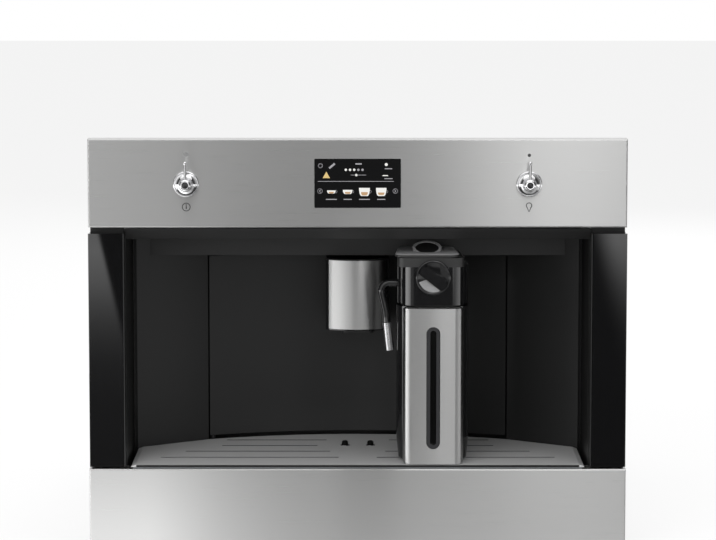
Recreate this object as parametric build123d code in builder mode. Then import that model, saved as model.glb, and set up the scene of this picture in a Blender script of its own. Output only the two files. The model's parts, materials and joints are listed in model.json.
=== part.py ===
from build123d import *
import os

os.makedirs("parts", exist_ok=True)

# Built-in coffee machine for a 45 cm niche, on a pull-out frame.
# X runs to the right, Y into the cabinet and Z up. The origin is on the niche floor,
# in the plane of the cabinet's front edges, on the machine's centre line. Millimetres.

# ------------------------------------------------------------------ driving sizes
# Front
front_width = 597.0
front_depth = 22.0
edge_cover = 20.5
floor_gap = 2.0
fascia_height = 87.0
bay_height = 270.0
panel_height = 98.0
fascia_proud = 2.0
panel_inset = 1.0
frame_plate = 3.0
bend_radius = 1.6

# Metal and moulding thicknesses
sheet = 1.5
thin_sheet = 1.2
wall = 2.2
glass = 4.0

# Clearances
running_gap = 0.3
shaft_clearance = 0.05
inset_gap = 0.2

# Bay, measured inwards from the steel face
lining_space = 4.0
side_depth = 107.0
side_groove = 5.0
seam_depth = 158.0
middle_depth = 191.0
side_panel_width = 85.5
seam_gap = 1.7
lintel_height = 34.5
lintel_above_door = 6.0
door_thickness = 11.0
band_inset = 20.0
header_fall = 15.0

# Chassis and pull-out
rail_space = 16.0
chassis_depth = 440.0
chassis_below_panel = 41.0
chassis_floor_z = 8.0
base_behind = 20.0
base_flange_start = 4.0
rear_flange_height = 22.0
floor_flange = 16.0
plate_window_margin = 88.0
plate_window_length = 110.0
plate_window_pitch = 160.0
plate_window_corner = 20.0
screw_inset_x = 40.0
screw_inset_y = 35.0
rail_height = 35.0
rail_length = 400.0
rail_z = 10.0
rail_start = 6.0
rail_gap = 0.4
rail_leg_gap = 1.7
base_screw_radius = 2.25
vent_width = 4.5

# Drip tray
tray_side_gap = 8.0
tray_depth = 40.0
tray_gap = 2.0
grid_overhang = 2.0
grid_thickness = 2.2
grid_above_fascia = 4.0
slot_width = 4.0
grid_bevel_width = 5.0
grid_bevel_fall = 1.3
drain_radius = 4.1
drain_sink_radius = 5.6
drain_sink_depth = 1.3
drain_spacing = 29.4
drain_depth = 120.0

# Turning knobs and display
knob_inset = 109.5
knob_drop = 0.5
knob_radius = 14.25
knob_reach = 26.0
knob_reach_out = 23.0
hub_radius = 6.5
pin_radius = 1.5
knob_shaft_radius = 3.0
display_width = 95.0
display_height = 54.0

# Coffee spout
spout_width = 73.0
spout_cover_width = 66.0
spout_front_depth = 95.0
spout_headroom = 2.4
spout_height = 81.0
spout_cap = 1.6
spout_bulge = 10.0
guide_width = 24.0

# Milk jug
jug_x = 84.0
jug_width = 81.0
jug_length = 87.0
jug_headroom = 21.8
jug_front_depth = 2.0
jug_cover_width = 67.4
jug_cover_depth = 18.0
jug_stand_gap = 0.5
jug_corner = 20.0
window_width = 15.4
window_height = 137.2
lid_gap = 2.2
lid_width = 70.0
lid_shoulder = 4.5
lid_shoulder_back = 16.0
lid_length = 78.0
lid_height = 43.0
lip_height = 14.0
dial_radius = 19.5
button_radius = 13.3
collar_radius = 16.2
button_tilt = 21.5
button_travel = 3.0
milk_tube_radius = 4.2
milk_nozzle_radius = 5.0
milk_nozzle_length = 32.0
milk_tip_radius = 4.8
milk_tip_length = 6.0
steam_tube_radius = 4.0

# Inside
tank_width = 98.0
tank_front_gap = 7.0
tank_rear_gap = 8.0
tank_side_gap = 5.0
tank_below_top = 24.5
tank_seat_height = 44.0
tank_corner = 4.0
hopper_width = 150.0
hopper_length = 110.0
hopper_depth = 56.0
hopper_gap = 26.0
hopper_corner = 8.0
flap_length = 46.0
flap_gap = 8.0
chute_width = 40.0
burr_radius = 24.0
grinder_radius = 40.0
bulkhead_fall = 71.0
piston_radius = 21.0
piston_travel = 20.0

# ------------------------------------------------------------------ places worked out from them
base_width = front_width - 2 * edge_cover
base_depth = chassis_depth + base_behind
chassis_width = base_width - 2 * rail_space
bay_width = chassis_width - 2 * lining_space
door_width = bay_width - 2 * side_panel_width
band_width = bay_width - 2 * band_inset
tray_width = bay_width - 2 * tray_side_gap
knob_spacing = front_width - 2 * knob_inset
front_y = -front_depth
fascia_y = front_y - fascia_proud
fascia_top = floor_gap + fascia_height
panel_z = fascia_top + bay_height
panel_top = panel_z + panel_height
panel_mid_z = (panel_z + panel_top) / 2
knob_height = panel_mid_z - knob_drop
grid_top = fascia_top + grid_above_fascia
grid_z = grid_top - grid_thickness
bay_half = bay_width / 2
seam_half = door_width / 2
seam_y = front_y + seam_depth
middle_y = front_y + middle_depth
side_y = front_y + side_depth
header_low = panel_z - header_fall
ceiling_z = header_low + 5.0
band_low = ceiling_z - lintel_height
door_z = grid_top + 4.5
door_top = band_low - lintel_above_door
door_height = door_top - door_z
bulkhead_y = middle_y + door_thickness + 6.0
chassis_half = chassis_width / 2
chassis_top_z = panel_top - chassis_below_panel
chassis_height = chassis_top_z - chassis_floor_z
hinge_x = -seam_half + 3.0
hinge_y = seam_y + 5.5
hinge_pin_radius = 2.0
tray_half = tray_width / 2
tray_floor = grid_z - tray_depth
tray_front = front_y + 2.0
jug_floor = grid_top + jug_stand_gap
jug_top = ceiling_z - jug_headroom - lip_height - lid_height - lid_gap
jug_height = jug_top - jug_floor
jug_front = front_y + jug_front_depth
vessel_front = jug_front + jug_cover_depth
vessel_back = vessel_front + jug_length
lid_z = jug_top + lid_gap
lid_front = jug_front + 12.0
lid_back = lid_front + lid_length
lip_z = lid_z + lid_height
lid_top = lip_z + lip_height
dial_z = lid_z + 32.0
button_x = jug_x - 6.0
button_y = front_y + 52.0
button_z = lid_top + 3.8
milk_y = front_y + 50.0
milk_z = lid_z + 20.9
steam_z = lid_z + 22.0
spout_y = front_y + spout_front_depth
spout_top = band_low - spout_headroom - spout_cap
spout_bottom = spout_top - spout_height
sides = ((-1, "left"), (1, "right"))


def save(builder, name):
    """Labels a finished piece and writes it."""
    builder.part.label = name
    export_step(builder.part, "parts/" + name + ".step")
    print(name, len(builder.part.solids()), round(builder.part.volume))


def slab(x_range, y_range, z_range, mode=Mode.ADD):
    """A rectangular block between three pairs of coordinates, added to or cut from the open part."""
    low = [min(r) for r in (x_range, y_range, z_range)]
    high = [max(r) for r in (x_range, y_range, z_range)]
    centre = tuple((a + b) / 2 for a, b in zip(low, high))
    with Locations(centre):
        Box(*[b - a for a, b in zip(low, high)], mode=mode)


def front_plane(x, y, z):
    """A plane that looks out of the front: its X to the right, its Y up, its normal towards the user."""
    return Plane(origin=(x, y, z), x_dir=(1, 0, 0), z_dir=(0, -1, 0))


def turned_plane(x, y, z):
    """A level plane for the half profile of a piece turned about a front-to-back axis."""
    return Plane(origin=(x, y, z), x_dir=(1, 0, 0), z_dir=(0, 0, 1))


def side_plane(x):
    """A plane across the machine: its X runs into the cabinet, its Y up, its normal to the right."""
    return Plane(origin=(x, 0, 0), x_dir=(0, 1, 0), z_dir=(1, 0, 0))


def tray_outline(half, front, out):
    """The closed outline of the tray or its grid: straight front and sides, back edge along the wall."""
    Polyline((-seam_half, seam_y - out), (-half, side_y - out), (-half, front),
             (half, front), (half, side_y - out), (seam_half, seam_y - out))
    ThreePointArc((seam_half, seam_y - out), (0, middle_y - out), (-seam_half, seam_y - out))


# ------------------------------------------------------------------ pull-out frame in the cabinet
flange_x = base_width / 2 - sheet
with BuildPart() as base_plate:
    with BuildSketch():
        Rectangle(base_width, base_depth, align=(Align.CENTER, Align.MIN))
        rear_window_y = base_depth - plate_window_length
        with Locations((0, rear_window_y - plate_window_pitch), (0, rear_window_y)):
            RectangleRounded(base_width - 2 * plate_window_margin, plate_window_length, plate_window_corner,
                             mode=Mode.SUBTRACT)
        with Locations((0, base_depth / 2)):
            with GridLocations(base_width - 2 * screw_inset_x, base_depth - 2 * screw_inset_y, 2, 2):
                Circle(base_screw_radius, mode=Mode.SUBTRACT)
    extrude(amount=sheet)
    for side, _ in sides:
        slab((side * flange_x, side * (flange_x + sheet)), (base_flange_start, base_depth),
             (0, rail_z + rail_height + 5))
    slab((-flange_x, flange_x), (base_depth - sheet, base_depth), (0, rear_flange_height))
save(base_plate, "base_plate")


def rail_section(side, web_x, depth, low, high, inward):
    """The C-section of a rail on one side: a web at web_x with two legs that point in or out."""
    direction = -side if inward else side
    web = side * web_x
    with BuildSketch(Plane.XZ.offset(-rail_start), mode=Mode.PRIVATE) as section:
        with Locations((web + direction * depth / 2, (low + high) / 2)):
            Rectangle(depth, high - low)
        with Locations((web + direction * (depth / 2 + thin_sheet), (low + high) / 2)):
            Rectangle(depth, high - low - 2 * thin_sheet, mode=Mode.SUBTRACT)
    return section.sketch


rail_step = thin_sheet + rail_gap
rail_depth = flange_x - chassis_half
rail_top = rail_z + rail_height
with BuildPart() as outer_rails:
    for side, _ in sides:
        section = rail_section(side, flange_x, rail_depth - rail_leg_gap - 0.5, rail_z, rail_top, True)
        extrude(section, amount=-rail_length)
save(outer_rails, "outer_rails")

with BuildPart() as middle_rails:
    for side, _ in sides:
        section = rail_section(side, flange_x - rail_step, rail_depth - rail_step - rail_leg_gap,
                               rail_z + rail_step, rail_top - rail_step, True)
        extrude(section, amount=-rail_length)
save(middle_rails, "middle_rails")

with BuildPart() as inner_rails:
    for side, _ in sides:
        section = rail_section(side, chassis_half, rail_depth - 2 * rail_step,
                               rail_z + 2 * rail_step, rail_top - 2 * rail_step, False)
        extrude(section, amount=-rail_length)
save(inner_rails, "inner_rails")

# ------------------------------------------------------------------ chassis sheets
inner_half = chassis_half - sheet
floor_vent_inset = 120.0
floor_vent_pitch = 20.0
floor_vent_length = 44.0
with BuildPart() as chassis_floor:
    with BuildSketch(Plane.XY.offset(chassis_floor_z)):
        Rectangle(2 * inner_half, chassis_depth, align=(Align.CENTER, Align.MIN))
        with Locations((0, chassis_depth - floor_vent_inset)):
            with GridLocations(floor_vent_pitch, floor_vent_length + 16, 14, 2):
                SlotOverall(floor_vent_length, vent_width + 0.5, rotation=90, mode=Mode.SUBTRACT)
    extrude(amount=sheet)
    for side, _ in sides:
        slab((side * inner_half, side * (inner_half - sheet)), (0, chassis_depth - sheet),
             (chassis_floor_z, chassis_floor_z + floor_flange))
save(chassis_floor, "chassis_floor")

inlet_x = 190.0
inlet_z = 70.0
inlet_width = 48.0
inlet_height = 28.0
rear_vent_x = 70.0
rear_vent_z = 330.0
rear_vent_length = 76.0
rear_vent_pitch = 11.0
rear_face = chassis_depth - sheet
with BuildPart() as chassis_rear:
    with BuildSketch(Plane.XZ.offset(-rear_face)):
        with Locations((0, (chassis_floor_z + sheet + chassis_top_z - sheet) / 2)):
            Rectangle(2 * inner_half, chassis_height - 2 * sheet)
        with Locations((inlet_x, inlet_z)):
            Rectangle(inlet_width, inlet_height, mode=Mode.SUBTRACT)
        with Locations((rear_vent_x, rear_vent_z)):
            with GridLocations(rear_vent_length + 14, rear_vent_pitch, 3, 12):
                SlotOverall(rear_vent_length, vent_width, mode=Mode.SUBTRACT)
    extrude(amount=-sheet)
save(chassis_rear, "chassis_rear")

side_vent_inset = 110.0
side_vent_z = 250.0
side_vent_length = 36.0
side_vent_pitch = 13.0
front_flange = 12.0
for side, name in sides:
    with BuildPart() as chassis_side:
        with BuildSketch(side_plane(side * chassis_half)):
            with Locations((chassis_depth / 2, (chassis_floor_z + chassis_top_z - sheet) / 2)):
                Rectangle(chassis_depth, chassis_height - sheet)
            with Locations((chassis_depth - side_vent_inset, side_vent_z)):
                with GridLocations(side_vent_length + 10, side_vent_pitch, 3, 9):
                    SlotOverall(side_vent_length, vent_width, mode=Mode.SUBTRACT)
        extrude(amount=-side * sheet)
        slab((side * inner_half, side * (inner_half - front_flange)), (0, sheet),
             (ceiling_z + 6, chassis_top_z - 20))
    save(chassis_side, "chassis_" + name)

tank_x = -chassis_half + sheet + tank_side_gap + tank_width / 2
tank_back = chassis_depth - sheet - tank_rear_gap
tank_length = tank_back - bulkhead_y - sheet - tank_front_gap
tank_y = tank_back - tank_length / 2
hopper_x = 60.0
hopper_y = bulkhead_y + hopper_gap + hopper_length / 2
flap_x = hopper_x - hopper_width / 2 - flap_length / 2 - flap_gap
with BuildPart() as chassis_top:
    with BuildSketch(Plane.XY.offset(chassis_top_z - sheet)):
        Rectangle(chassis_width, chassis_depth, align=(Align.CENTER, Align.MIN))
        with Locations((tank_x, tank_y)):
            RectangleRounded(tank_width + 3, tank_length + 3, tank_corner + 1, mode=Mode.SUBTRACT)
        with Locations((hopper_x, hopper_y)):
            RectangleRounded(hopper_width + 1, hopper_length + 1, hopper_corner + 0.5, mode=Mode.SUBTRACT)
        with Locations((flap_x, hopper_y)):
            RectangleRounded(chute_width + 1, flap_length + 1, hopper_corner, mode=Mode.SUBTRACT)
    extrude(amount=sheet)
save(chassis_top, "chassis_top")

# ------------------------------------------------------------------ front frame and control panel
# A shallow groove on each side of its back parts off the strip that bears on the cabinet's edge.
frame_low = floor_gap + 2.0
frame_high = panel_top - 2.0
frame_inset = 1.5
window_low = tray_floor - 6.0
window_high = panel_z - 2.0
bearing_x = chassis_half + 2.5
groove_width = 1.0
groove_depth = 0.5
with BuildPart() as front_frame:
    with BuildSketch(Plane.XZ):
        with Locations((0, (frame_low + frame_high) / 2)):
            Rectangle(front_width - 2 * frame_inset, frame_high - frame_low)
        with Locations((0, (window_low + window_high) / 2)):
            Rectangle(bay_width + 2 * sheet, window_high - window_low, mode=Mode.SUBTRACT)
    extrude(amount=frame_plate)
    for side, _ in sides:
        slab((side * (bearing_x - groove_width), side * bearing_x), (-groove_depth, 1),
             (frame_low - 1, frame_high + 1), mode=Mode.SUBTRACT)
save(front_frame, "front_frame")

panel_width = front_width - 2 * panel_inset
panel_back = -frame_plate
knob_hole_radius = 4.7
display_corner = 1.0
display_z = panel_mid_z
with BuildPart() as control_panel:
    with Locations((0, (front_y + panel_back) / 2, panel_mid_z)):
        Box(panel_width, panel_back - front_y, panel_height)
    front_edges = control_panel.faces().sort_by(Axis.Y)[0].edges()
    fillet(front_edges, bend_radius)
    offset(amount=-sheet, openings=control_panel.faces().sort_by(Axis.Y)[-1])
    with BuildSketch(front_plane(0, front_y - 1, 0)):
        with Locations((-knob_spacing / 2, knob_height), (knob_spacing / 2, knob_height)):
            Circle(knob_hole_radius)
        with Locations((0, display_z)):
            RectangleRounded(display_width + 2 * inset_gap, display_height + 2 * inset_gap,
                             display_corner + inset_gap)
    extrude(amount=-sheet - 2, mode=Mode.SUBTRACT)
save(control_panel, "control_panel")

with BuildPart() as display_glass:
    with BuildSketch(front_plane(0, front_y + 0.2, display_z)):
        RectangleRounded(display_width, display_height, display_corner)
    extrude(amount=-glass)
    chamfer(display_glass.faces().sort_by(Axis.Y)[0].edges(), 0.3)
save(display_glass, "display_glass")

glass_back = front_y + 0.2 + glass
board_y = glass_back + 3.0
board_margin_x = 12.0
board_margin_z = 9.0
board_thickness = 1.6
board_post_radius = 2.5
with BuildPart() as display_board:
    with BuildSketch(front_plane(0, board_y, display_z)):
        RectangleRounded(display_width + 2 * board_margin_x, display_height + 2 * board_margin_z, 3)
    extrude(amount=-board_thickness)
    with BuildSketch(front_plane(0, board_y, display_z)):
        Rectangle(display_width - 6, display_height - 6)
    extrude(amount=board_y - glass_back)
    with BuildSketch(front_plane(0, board_y, display_z)):
        with GridLocations(display_width + board_margin_x + 2, display_height + board_margin_z - 1, 2, 2):
            Circle(board_post_radius)
    extrude(amount=board_y - front_y - sheet)
save(display_board, "display_board")

switch_depth = 10.0
switch_size = 18.0
switch_back = front_y + sheet + switch_depth
with BuildPart() as knob_switches:
    for side, _ in sides:
        x = side * knob_spacing / 2
        with BuildSketch(front_plane(x, switch_back, knob_height)):
            RectangleRounded(switch_size, switch_size, 2)
        extrude(amount=switch_back - front_y - sheet)
        with BuildSketch(front_plane(x, front_y + sheet, knob_height)):
            Circle(knob_hole_radius - inset_gap)
        extrude(amount=sheet)
        with BuildSketch(front_plane(x, front_y - 1, knob_height)):
            Circle(knob_shaft_radius + shaft_clearance)
        extrude(amount=-10, mode=Mode.SUBTRACT)
save(knob_switches, "knob_switches")

# Each knob: a polished dish, a hub that stands out of it and a thin pin with a ball tip that points up.
for side, name in sides:
    x = side * knob_spacing / 2
    pin_y = front_y - knob_reach_out + 4.0
    with BuildPart() as knob:
        with BuildSketch(turned_plane(x, front_y - 0.4, knob_height)):
            with BuildLine():
                Polyline((0, 0), (knob_radius - 1.2, 0), (knob_radius, -1.2), (knob_radius, -3.2))
                ThreePointArc((knob_radius, -3.2), (knob_radius - 1.0, -4.6), (knob_radius - 2.2, -4.2))
                ThreePointArc((knob_radius - 2.2, -4.2), (hub_radius + 1.4, -6.6), (hub_radius, -10.0))
                Line((hub_radius, -10.0), (hub_radius, 2.4 - knob_reach_out))
                ThreePointArc((hub_radius, 2.4 - knob_reach_out), (hub_radius - 0.7, 1.1 - knob_reach_out),
                              (hub_radius - 2.2, 0.4 - knob_reach_out))
                Polyline((hub_radius - 2.2, 0.4 - knob_reach_out), (hub_radius - 2.4, 1.6 - knob_reach_out),
                         (0, 1.6 - knob_reach_out), (0, 0))
            make_face()
        revolve(axis=Axis((x, front_y, knob_height), (0, 1, 0)))
        with BuildSketch(Plane.XY.offset(knob_height + 2.0)):
            with Locations((x, pin_y)):
                Circle(pin_radius)
        extrude(amount=knob_reach - 4.0)
        with Locations((x, pin_y, knob_height + knob_reach - 1.9)):
            Sphere(2.1)
        with BuildSketch(front_plane(x, front_y - 1, knob_height)):
            Circle(knob_shaft_radius)
        extrude(amount=-9.0)
    save(knob, name + "_knob")

# ------------------------------------------------------------------ header and side columns
header_gap = 0.4
with BuildPart() as header_strip:
    with BuildSketch(side_plane(-bay_half + 0.3)):
        with BuildLine():
            Polyline((front_y + 1.0, panel_z - 1.0), (-header_gap, header_low), (-header_gap, header_low + 3),
                     (-header_gap - 3, header_low + 5.0), (-header_gap - 3, panel_z - 2.6),
                     (front_y + 4.2, panel_z - 2.6), (front_y + 1.0, panel_z - 1.0))
        make_face()
    extrude(amount=bay_width - 0.6)
save(header_strip, "header_strip")

column_low = fascia_top + 2.0
column_high = panel_z - 7.0
column_outer = front_width / 2 - 0.5
column_inner = bay_half + header_gap
column_fold = 1.0
web_y = front_y + 1.0 + glass
with BuildPart() as column_trims:
    for side, _ in sides:
        with BuildSketch(Plane.XY.offset(column_low)):
            with BuildLine():
                Polyline((side * (column_inner + thin_sheet), front_y + 0.6),
                         (side * (column_inner + thin_sheet), web_y),
                         (side * (column_outer - column_fold), web_y),
                         (side * (column_outer - column_fold), -frame_plate),
                         (side * (column_outer - column_fold - thin_sheet), -frame_plate),
                         (side * (column_outer - column_fold - thin_sheet), web_y + thin_sheet),
                         (side * (column_inner + thin_sheet), web_y + thin_sheet),
                         (side * (column_inner + thin_sheet), -frame_plate),
                         (side * column_inner, -frame_plate),
                         (side * column_inner, front_y + 0.6),
                         (side * (column_inner + thin_sheet), front_y + 0.6))
            make_face()
        extrude(amount=column_high - column_low)
save(column_trims, "column_trims")

with BuildPart() as column_glasses:
    for side, _ in sides:
        pane_inner = column_inner + thin_sheet + inset_gap
        slab((side * pane_inner, side * column_outer), (front_y + 1.0, web_y), (column_low, column_high))
    vertical = column_glasses.edges().filter_by(Axis.Z).group_by(Axis.Y)[0]
    chamfer(vertical, 0.5)
save(column_glasses, "column_glasses")

# ------------------------------------------------------------------ bay lining, with the drip tray's guides
wall_low = tray_floor - 4.0
flange_y = side_y + 14.0
wall_flange = 12.0
guide_reach = 16.0
wall_start = -frame_plate + 0.5
with BuildPart() as cavity_walls:
    for side, _ in sides:
        with BuildSketch(Plane.XY.offset(wall_low)):
            with BuildLine():
                Polyline((side * bay_half, wall_start), (side * bay_half, flange_y),
                         (side * (bay_half - wall_flange), flange_y),
                         (side * (bay_half - wall_flange), flange_y + thin_sheet),
                         (side * (bay_half + thin_sheet), flange_y + thin_sheet),
                         (side * (bay_half + thin_sheet), wall_start),
                         (side * bay_half, wall_start))
            make_face()
        extrude(amount=ceiling_z - wall_low)
        guide_top = tray_floor - running_gap
        with BuildSketch(Plane.XZ.offset(frame_plate)):
            with BuildLine():
                Polyline((side * bay_half, guide_top), (side * (bay_half - guide_reach), guide_top),
                         (side * (bay_half - guide_reach), guide_top - sheet),
                         (side * bay_half, guide_top - sheet - 2.0), (side * bay_half, guide_top))
            make_face()
        extrude(amount=-side_y)
save(cavity_walls, "cavity_walls")

lamp_x = seam_half - 47.5
lamp_y = side_y - 30.0
lamp_radius = 17.0
lamp_rim = 3.0
with BuildPart() as cavity_ceiling:
    with BuildSketch(Plane.XY.offset(ceiling_z)):
        with BuildLine():
            tray_outline(bay_half + thin_sheet, 0.2, -2.0)
        make_face()
        with Locations((-lamp_x, lamp_y), (lamp_x, lamp_y)):
            Circle(lamp_radius + inset_gap, mode=Mode.SUBTRACT)
    extrude(amount=thin_sheet)
save(cavity_ceiling, "cavity_ceiling")

with BuildPart() as lamp_lenses:
    for side, _ in sides:
        with BuildSketch(turned_plane(side * lamp_x, lamp_y, ceiling_z)):
            Circle(lamp_radius)
        extrude(amount=thin_sheet + 1)
        with BuildSketch(turned_plane(side * lamp_x, lamp_y, ceiling_z + thin_sheet)):
            Circle(lamp_radius + lamp_rim)
        extrude(amount=lamp_rim)
save(lamp_lenses, "lamp_lenses")

panel_edge_x = seam_half + seam_gap
slope = (seam_y - side_y) / (bay_half - side_groove - seam_half)
panel_edge_y = seam_y - slope * seam_gap
web_x = bay_half - 40.0
web_front_y = side_y + slope * (bay_half - side_groove - web_x) + 0.5
for side, name in sides:
    with BuildPart() as back_panel:
        outer = (side * (bay_half - side_groove), side_y)
        with BuildSketch(Plane.XY.offset(wall_low)):
            with BuildLine():
                Polyline(outer, (side * panel_edge_x, panel_edge_y),
                         (side * panel_edge_x, panel_edge_y + thin_sheet),
                         (outer[0], outer[1] + thin_sheet), outer)
            make_face()
            with Locations((side * web_x, bulkhead_y)):
                Rectangle(sheet, bulkhead_y - web_front_y, align=(Align.CENTER, Align.MAX))
        extrude(amount=ceiling_z - wall_low)
    save(back_panel, "back_panel_" + name)

# A straight lintel across the bay's top. Its ends meet the slanting panels, and behind it a shelf
# closes the space over the service door.
band_x = band_width / 2
band_sheet = 1.6
band_y = side_y + slope * (bay_half - side_groove - band_x)
band_end = band_x - 0.4
shelf_z = band_low + 0.9
shelf_half = seam_half - 0.4
with BuildPart() as upper_back_band:
    with BuildSketch(Plane.XY.offset(band_low)):
        with BuildLine():
            Polyline((-band_end, band_y), (band_end, band_y),
                     (band_end - band_sheet / slope, band_y + band_sheet),
                     (-band_end + band_sheet / slope, band_y + band_sheet), close=True)
        make_face()
    extrude(amount=ceiling_z - band_low)
    with BuildSketch(Plane.XY.offset(shelf_z)):
        with BuildLine():
            Polyline((-band_end, band_y), (band_end, band_y), (shelf_half, seam_y - 0.4),
                     (shelf_half, bulkhead_y), (-shelf_half, bulkhead_y), (-shelf_half, seam_y - 0.4),
                     close=True)
        make_face()
    extrude(amount=band_sheet)
save(upper_back_band, "upper_back_band")

# Bulkhead behind the service door, with the door's two hinge brackets and pins welded on.
service_width = door_width - 26.0
service_low = door_z + 6.0
service_high = door_top - 8.0
bulkhead_top = chassis_top_z - bulkhead_fall
bracket_radius = 2.4
bracket_height = 3.0
pin_length = 12.2
with BuildPart() as bulkhead:
    with BuildSketch(Plane.XZ.offset(-bulkhead_y)):
        with Locations((0, (chassis_floor_z + sheet + bulkhead_top) / 2)):
            Rectangle(2 * (inner_half - sheet), bulkhead_top - chassis_floor_z - sheet)
        with Locations((0, (service_low + service_high) / 2)):
            RectangleRounded(service_width, service_high - service_low, 8, mode=Mode.SUBTRACT)
    extrude(amount=-sheet)
    upper_bracket = door_top + 3.2
    lower_bracket = door_z - 1 - bracket_height
    for low, pin_low in ((lower_bracket, door_z - 3), (upper_bracket, upper_bracket - pin_length)):
        with BuildSketch(Plane.XY.offset(low)):
            with Locations((hinge_x, hinge_y)):
                Circle(bracket_radius)
                Rectangle(2 * bracket_radius, bulkhead_y - hinge_y, align=(Align.CENTER, Align.MIN))
        extrude(amount=bracket_height)
        with BuildSketch(Plane.XY.offset(pin_low)):
            with Locations((hinge_x, hinge_y)):
                Circle(hinge_pin_radius)
        extrude(amount=pin_length)
save(bulkhead, "bulkhead")

# ------------------------------------------------------------------ service door
tube_port = 9.0
port_z = spout_top - 14.0
with BuildPart() as door_skin:
    with BuildSketch(Plane.XY.offset(door_z)):
        with BuildLine():
            ThreePointArc((-seam_half, seam_y), (0, middle_y), (seam_half, seam_y))
            Line((seam_half, seam_y), (seam_half, seam_y + thin_sheet))
            ThreePointArc((seam_half, seam_y + thin_sheet), (0, middle_y + thin_sheet),
                          (-seam_half, seam_y + thin_sheet))
            Line((-seam_half, seam_y + thin_sheet), (-seam_half, seam_y))
        make_face()
    extrude(amount=door_height)
    with BuildSketch(front_plane(0, middle_y - 4, port_z)):
        Circle(tube_port)
    extrude(amount=-10, mode=Mode.SUBTRACT)
save(door_skin, "door_skin")

inner_skin = thin_sheet
pocket_pitch = 44.0
pocket_width = 36.0
pocket_skin = 4.5
pocket_margin = 22.0
with BuildPart() as door_frame:
    with BuildSketch(Plane.XY.offset(door_z + 1)):
        with BuildLine():
            ThreePointArc((-seam_half, seam_y + inner_skin), (0, middle_y + inner_skin),
                          (seam_half, seam_y + inner_skin))
            Line((seam_half, seam_y + inner_skin), (seam_half, seam_y + door_thickness))
            ThreePointArc((seam_half, seam_y + door_thickness), (0, middle_y + door_thickness),
                          (-seam_half, seam_y + door_thickness))
            Line((-seam_half, seam_y + door_thickness), (-seam_half, seam_y + inner_skin))
        make_face()
    extrude(amount=door_height - 2)
    for column in (-3, -2, -1, 1, 2, 3):
        pocket_x = column * pocket_pitch
        door_back_y = middle_y + door_thickness - (middle_y - seam_y) * (pocket_x / seam_half) ** 2
        with Locations((pocket_x, door_back_y, (door_z + door_top) / 2)):
            Box(pocket_width, 2 * (door_thickness - pocket_skin), door_height - 2 * pocket_margin,
                mode=Mode.SUBTRACT)
    with BuildSketch(front_plane(0, middle_y - 4, port_z)):
        Circle(tube_port)
    extrude(amount=-30, mode=Mode.SUBTRACT)
    with BuildSketch(Plane.XY.offset(door_z)):
        with Locations((hinge_x, hinge_y)):
            Circle(hinge_pin_radius + shaft_clearance)
    extrude(amount=door_height, mode=Mode.SUBTRACT)
save(door_frame, "door_frame")

guide_low = spout_bottom + 6.0
guide_high = spout_top + spout_cap
guide_y = middle_y - 8.4
guide_web = 7.0
guide_flange = 2.6
with BuildPart() as spout_guide:
    with BuildSketch(Plane.XY.offset(guide_low)):
        with Locations((0, guide_y)):
            Rectangle(guide_width, guide_flange, align=(Align.CENTER, Align.MIN))
            Rectangle(guide_width - 2 * guide_web, middle_y - guide_y - 0.1, align=(Align.CENTER, Align.MIN))
    extrude(amount=guide_high - guide_low)
save(spout_guide, "spout_guide")

# ------------------------------------------------------------------ coffee spout
spout_half = spout_width / 2
cover_half = spout_cover_width / 2
cover_side_y = spout_y + spout_bulge
housing_back = middle_y - 2.4
with BuildPart() as spout_housing:
    with BuildSketch(Plane.XY.offset(spout_bottom)):
        with BuildLine():
            Line((-spout_half, cover_side_y + 4.6), (-spout_half, housing_back - 6))
            ThreePointArc((-spout_half, housing_back - 6), (-spout_half + 1.8, housing_back - 1.8),
                          (-spout_half + 6, housing_back))
            Line((-spout_half + 6, housing_back), (spout_half - 6, housing_back))
            ThreePointArc((spout_half - 6, housing_back), (spout_half - 1.8, housing_back - 1.8),
                          (spout_half, housing_back - 6))
            Line((spout_half, housing_back - 6), (spout_half, cover_side_y + 4.6))
            ThreePointArc((spout_half, cover_side_y + 4.6), (0, spout_y + 2.4),
                          (-spout_half, cover_side_y + 4.6))
        make_face()
    extrude(amount=spout_height + spout_cap)
    top_edges = spout_housing.faces().sort_by(Axis.Z)[-1].edges()
    fillet(top_edges, 1.5)
    slab((-guide_width / 2 - running_gap, guide_width / 2 + running_gap),
         (guide_y - running_gap, guide_y + guide_flange + running_gap),
         (spout_bottom - 1, spout_top + spout_cap + 1), mode=Mode.SUBTRACT)
    slab((-guide_width / 2 + guide_web - running_gap, guide_width / 2 - guide_web + running_gap),
         (guide_y, housing_back + 1), (spout_bottom - 1, spout_top + spout_cap + 1), mode=Mode.SUBTRACT)
    slab((-spout_half + 5, spout_half - 5), (cover_side_y + 10, guide_y - 6),
         (spout_bottom - 1, spout_top - 6), mode=Mode.SUBTRACT)
save(spout_housing, "spout_housing")

with BuildPart() as spout_cover:
    with BuildSketch(Plane.XY.offset(spout_bottom + 1.8)):
        with BuildLine():
            ThreePointArc((-cover_half, cover_side_y), (0, spout_y), (cover_half, cover_side_y))
            Line((cover_half, cover_side_y), (cover_half, cover_side_y + 1.6))
            ThreePointArc((cover_half, cover_side_y + 1.6), (0, spout_y + 2.3),
                          (-cover_half, cover_side_y + 1.6))
            Line((-cover_half, cover_side_y + 1.6), (-cover_half, cover_side_y))
        make_face()
    extrude(amount=spout_height - 2.0)
save(spout_cover, "spout_cover")

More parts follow.
